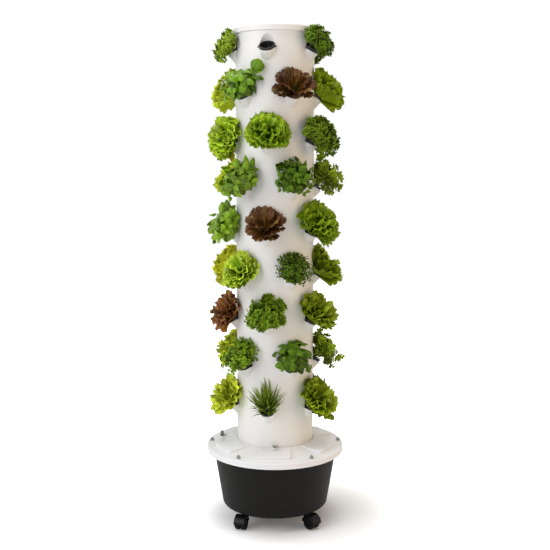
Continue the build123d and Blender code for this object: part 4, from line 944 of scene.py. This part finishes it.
def pale_floor():
    bm = bmesh.new()
    bmesh.ops.create_grid(bm, x_segments=1, y_segments=1, size=FLOOR_HALF)
    mesh = bpy.data.meshes.new("floor")
    bm.to_mesh(mesh)
    bm.free()
    floor = bpy.data.objects.new("floor", mesh)
    bpy.context.scene.collection.objects.link(floor)
    material, tree, links, shader = new_finish("pale_floor", FLOOR_COLOR, roughness=0.9, specular=0.0)
    place = tree.new("ShaderNodeTexCoord")
    distance = tree.new("ShaderNodeVectorMath")
    distance.operation = "DISTANCE"
    distance.inputs[1].default_value = SHADOW_CENTRE
    links.new(place.outputs["Object"], distance.inputs[0])
    away = ranged(tree, links, distance.outputs["Value"], *SHADOW_FADE, SHADOW_GLOW, 1.0, smooth=True)
    rays = tree.new("ShaderNodeLightPath")
    glow = math_of(tree, links, "MULTIPLY", rays.outputs["Is Camera Ray"], away)
    shader.inputs["Emission Color"].default_value = (1, 1, 1, 1)
    links.new(glow, shader.inputs["Emission Strength"])
    mesh.materials.append(material)


pale_floor()

# Studio: a white surround to the eye, dimmer and warmer as light
SURROUND_LIGHT = (1.0, 0.94, 0.87)
SURROUND_STRENGTH = 0.34
world = bpy.data.worlds.new("studio")
bpy.context.scene.world = world
world.use_nodes = True
tree, links = world.node_tree.nodes, world.node_tree.links
sky = tree["Background"]
rays = tree.new("ShaderNodeLightPath")
seen = math_of(tree, links, "MAXIMUM", rays.outputs["Is Camera Ray"], rays.outputs["Is Glossy Ray"])
seen = math_of(tree, links, "MAXIMUM", seen, rays.outputs["Is Transmission Ray"])
links.new(mixed(tree, links, seen, SURROUND_LIGHT, (1, 1, 1)), sky.inputs["Color"])
links.new(ranged(tree, links, seen, 0.0, 1.0, SURROUND_STRENGTH, 1.0), sky.inputs["Strength"])

# Soft round lamps, a broad one from the left, one overhead and a warm one from the right:
# place, target, size across, power, colour
LAMPS = {
    "key": ((-3.4, -2.6, 2.7), (0, 0, 0.85), 4.5, 123, (0.95, 0.97, 1.0)),
    "top": ((0.3, -0.9, 8.0), (0, 0, 0), 5.0, 290, (1.0, 1.0, 1.0)),
    "warm_side": ((3.2, -1.2, 1.2), (0, 0, 0.9), 2.4, 27, (1.0, 0.66, 0.26)),
}


def soft_lamp(name, place, target, size, power, color):
    lamp = bpy.data.lights.new(name, "AREA")
    lamp.shape = "DISK"
    lamp.size = size
    lamp.energy = power
    lamp.color = color
    holder = bpy.data.objects.new(name, lamp)
    holder.location = place
    holder.rotation_euler = (Vector(target) - Vector(place)).to_track_quat("-Z", "Y").to_euler()
    bpy.context.scene.collection.objects.link(holder)


for name, look in LAMPS.items():
    soft_lamp(name, *look)

# Camera at the photograph's height and distance
CAMERA_PLACE = (0.0, -2.9069, 1.1777)
CAMERA_PITCH = math.radians(7.1)
CAMERA_LENS = 58.6  # millimetres, for the sensor width below
SENSOR_WIDTH = 36
camera_data = bpy.data.cameras.new("camera")
camera_data.lens = CAMERA_LENS
camera_data.sensor_width = SENSOR_WIDTH
camera = bpy.data.objects.new("camera", camera_data)
camera.location = CAMERA_PLACE
camera.rotation_euler = (math.pi / 2 - CAMERA_PITCH, 0, 0)
bpy.context.scene.collection.objects.link(camera)
bpy.context.scene.camera = camera
bpy.context.scene.view_settings.view_transform = "Standard"
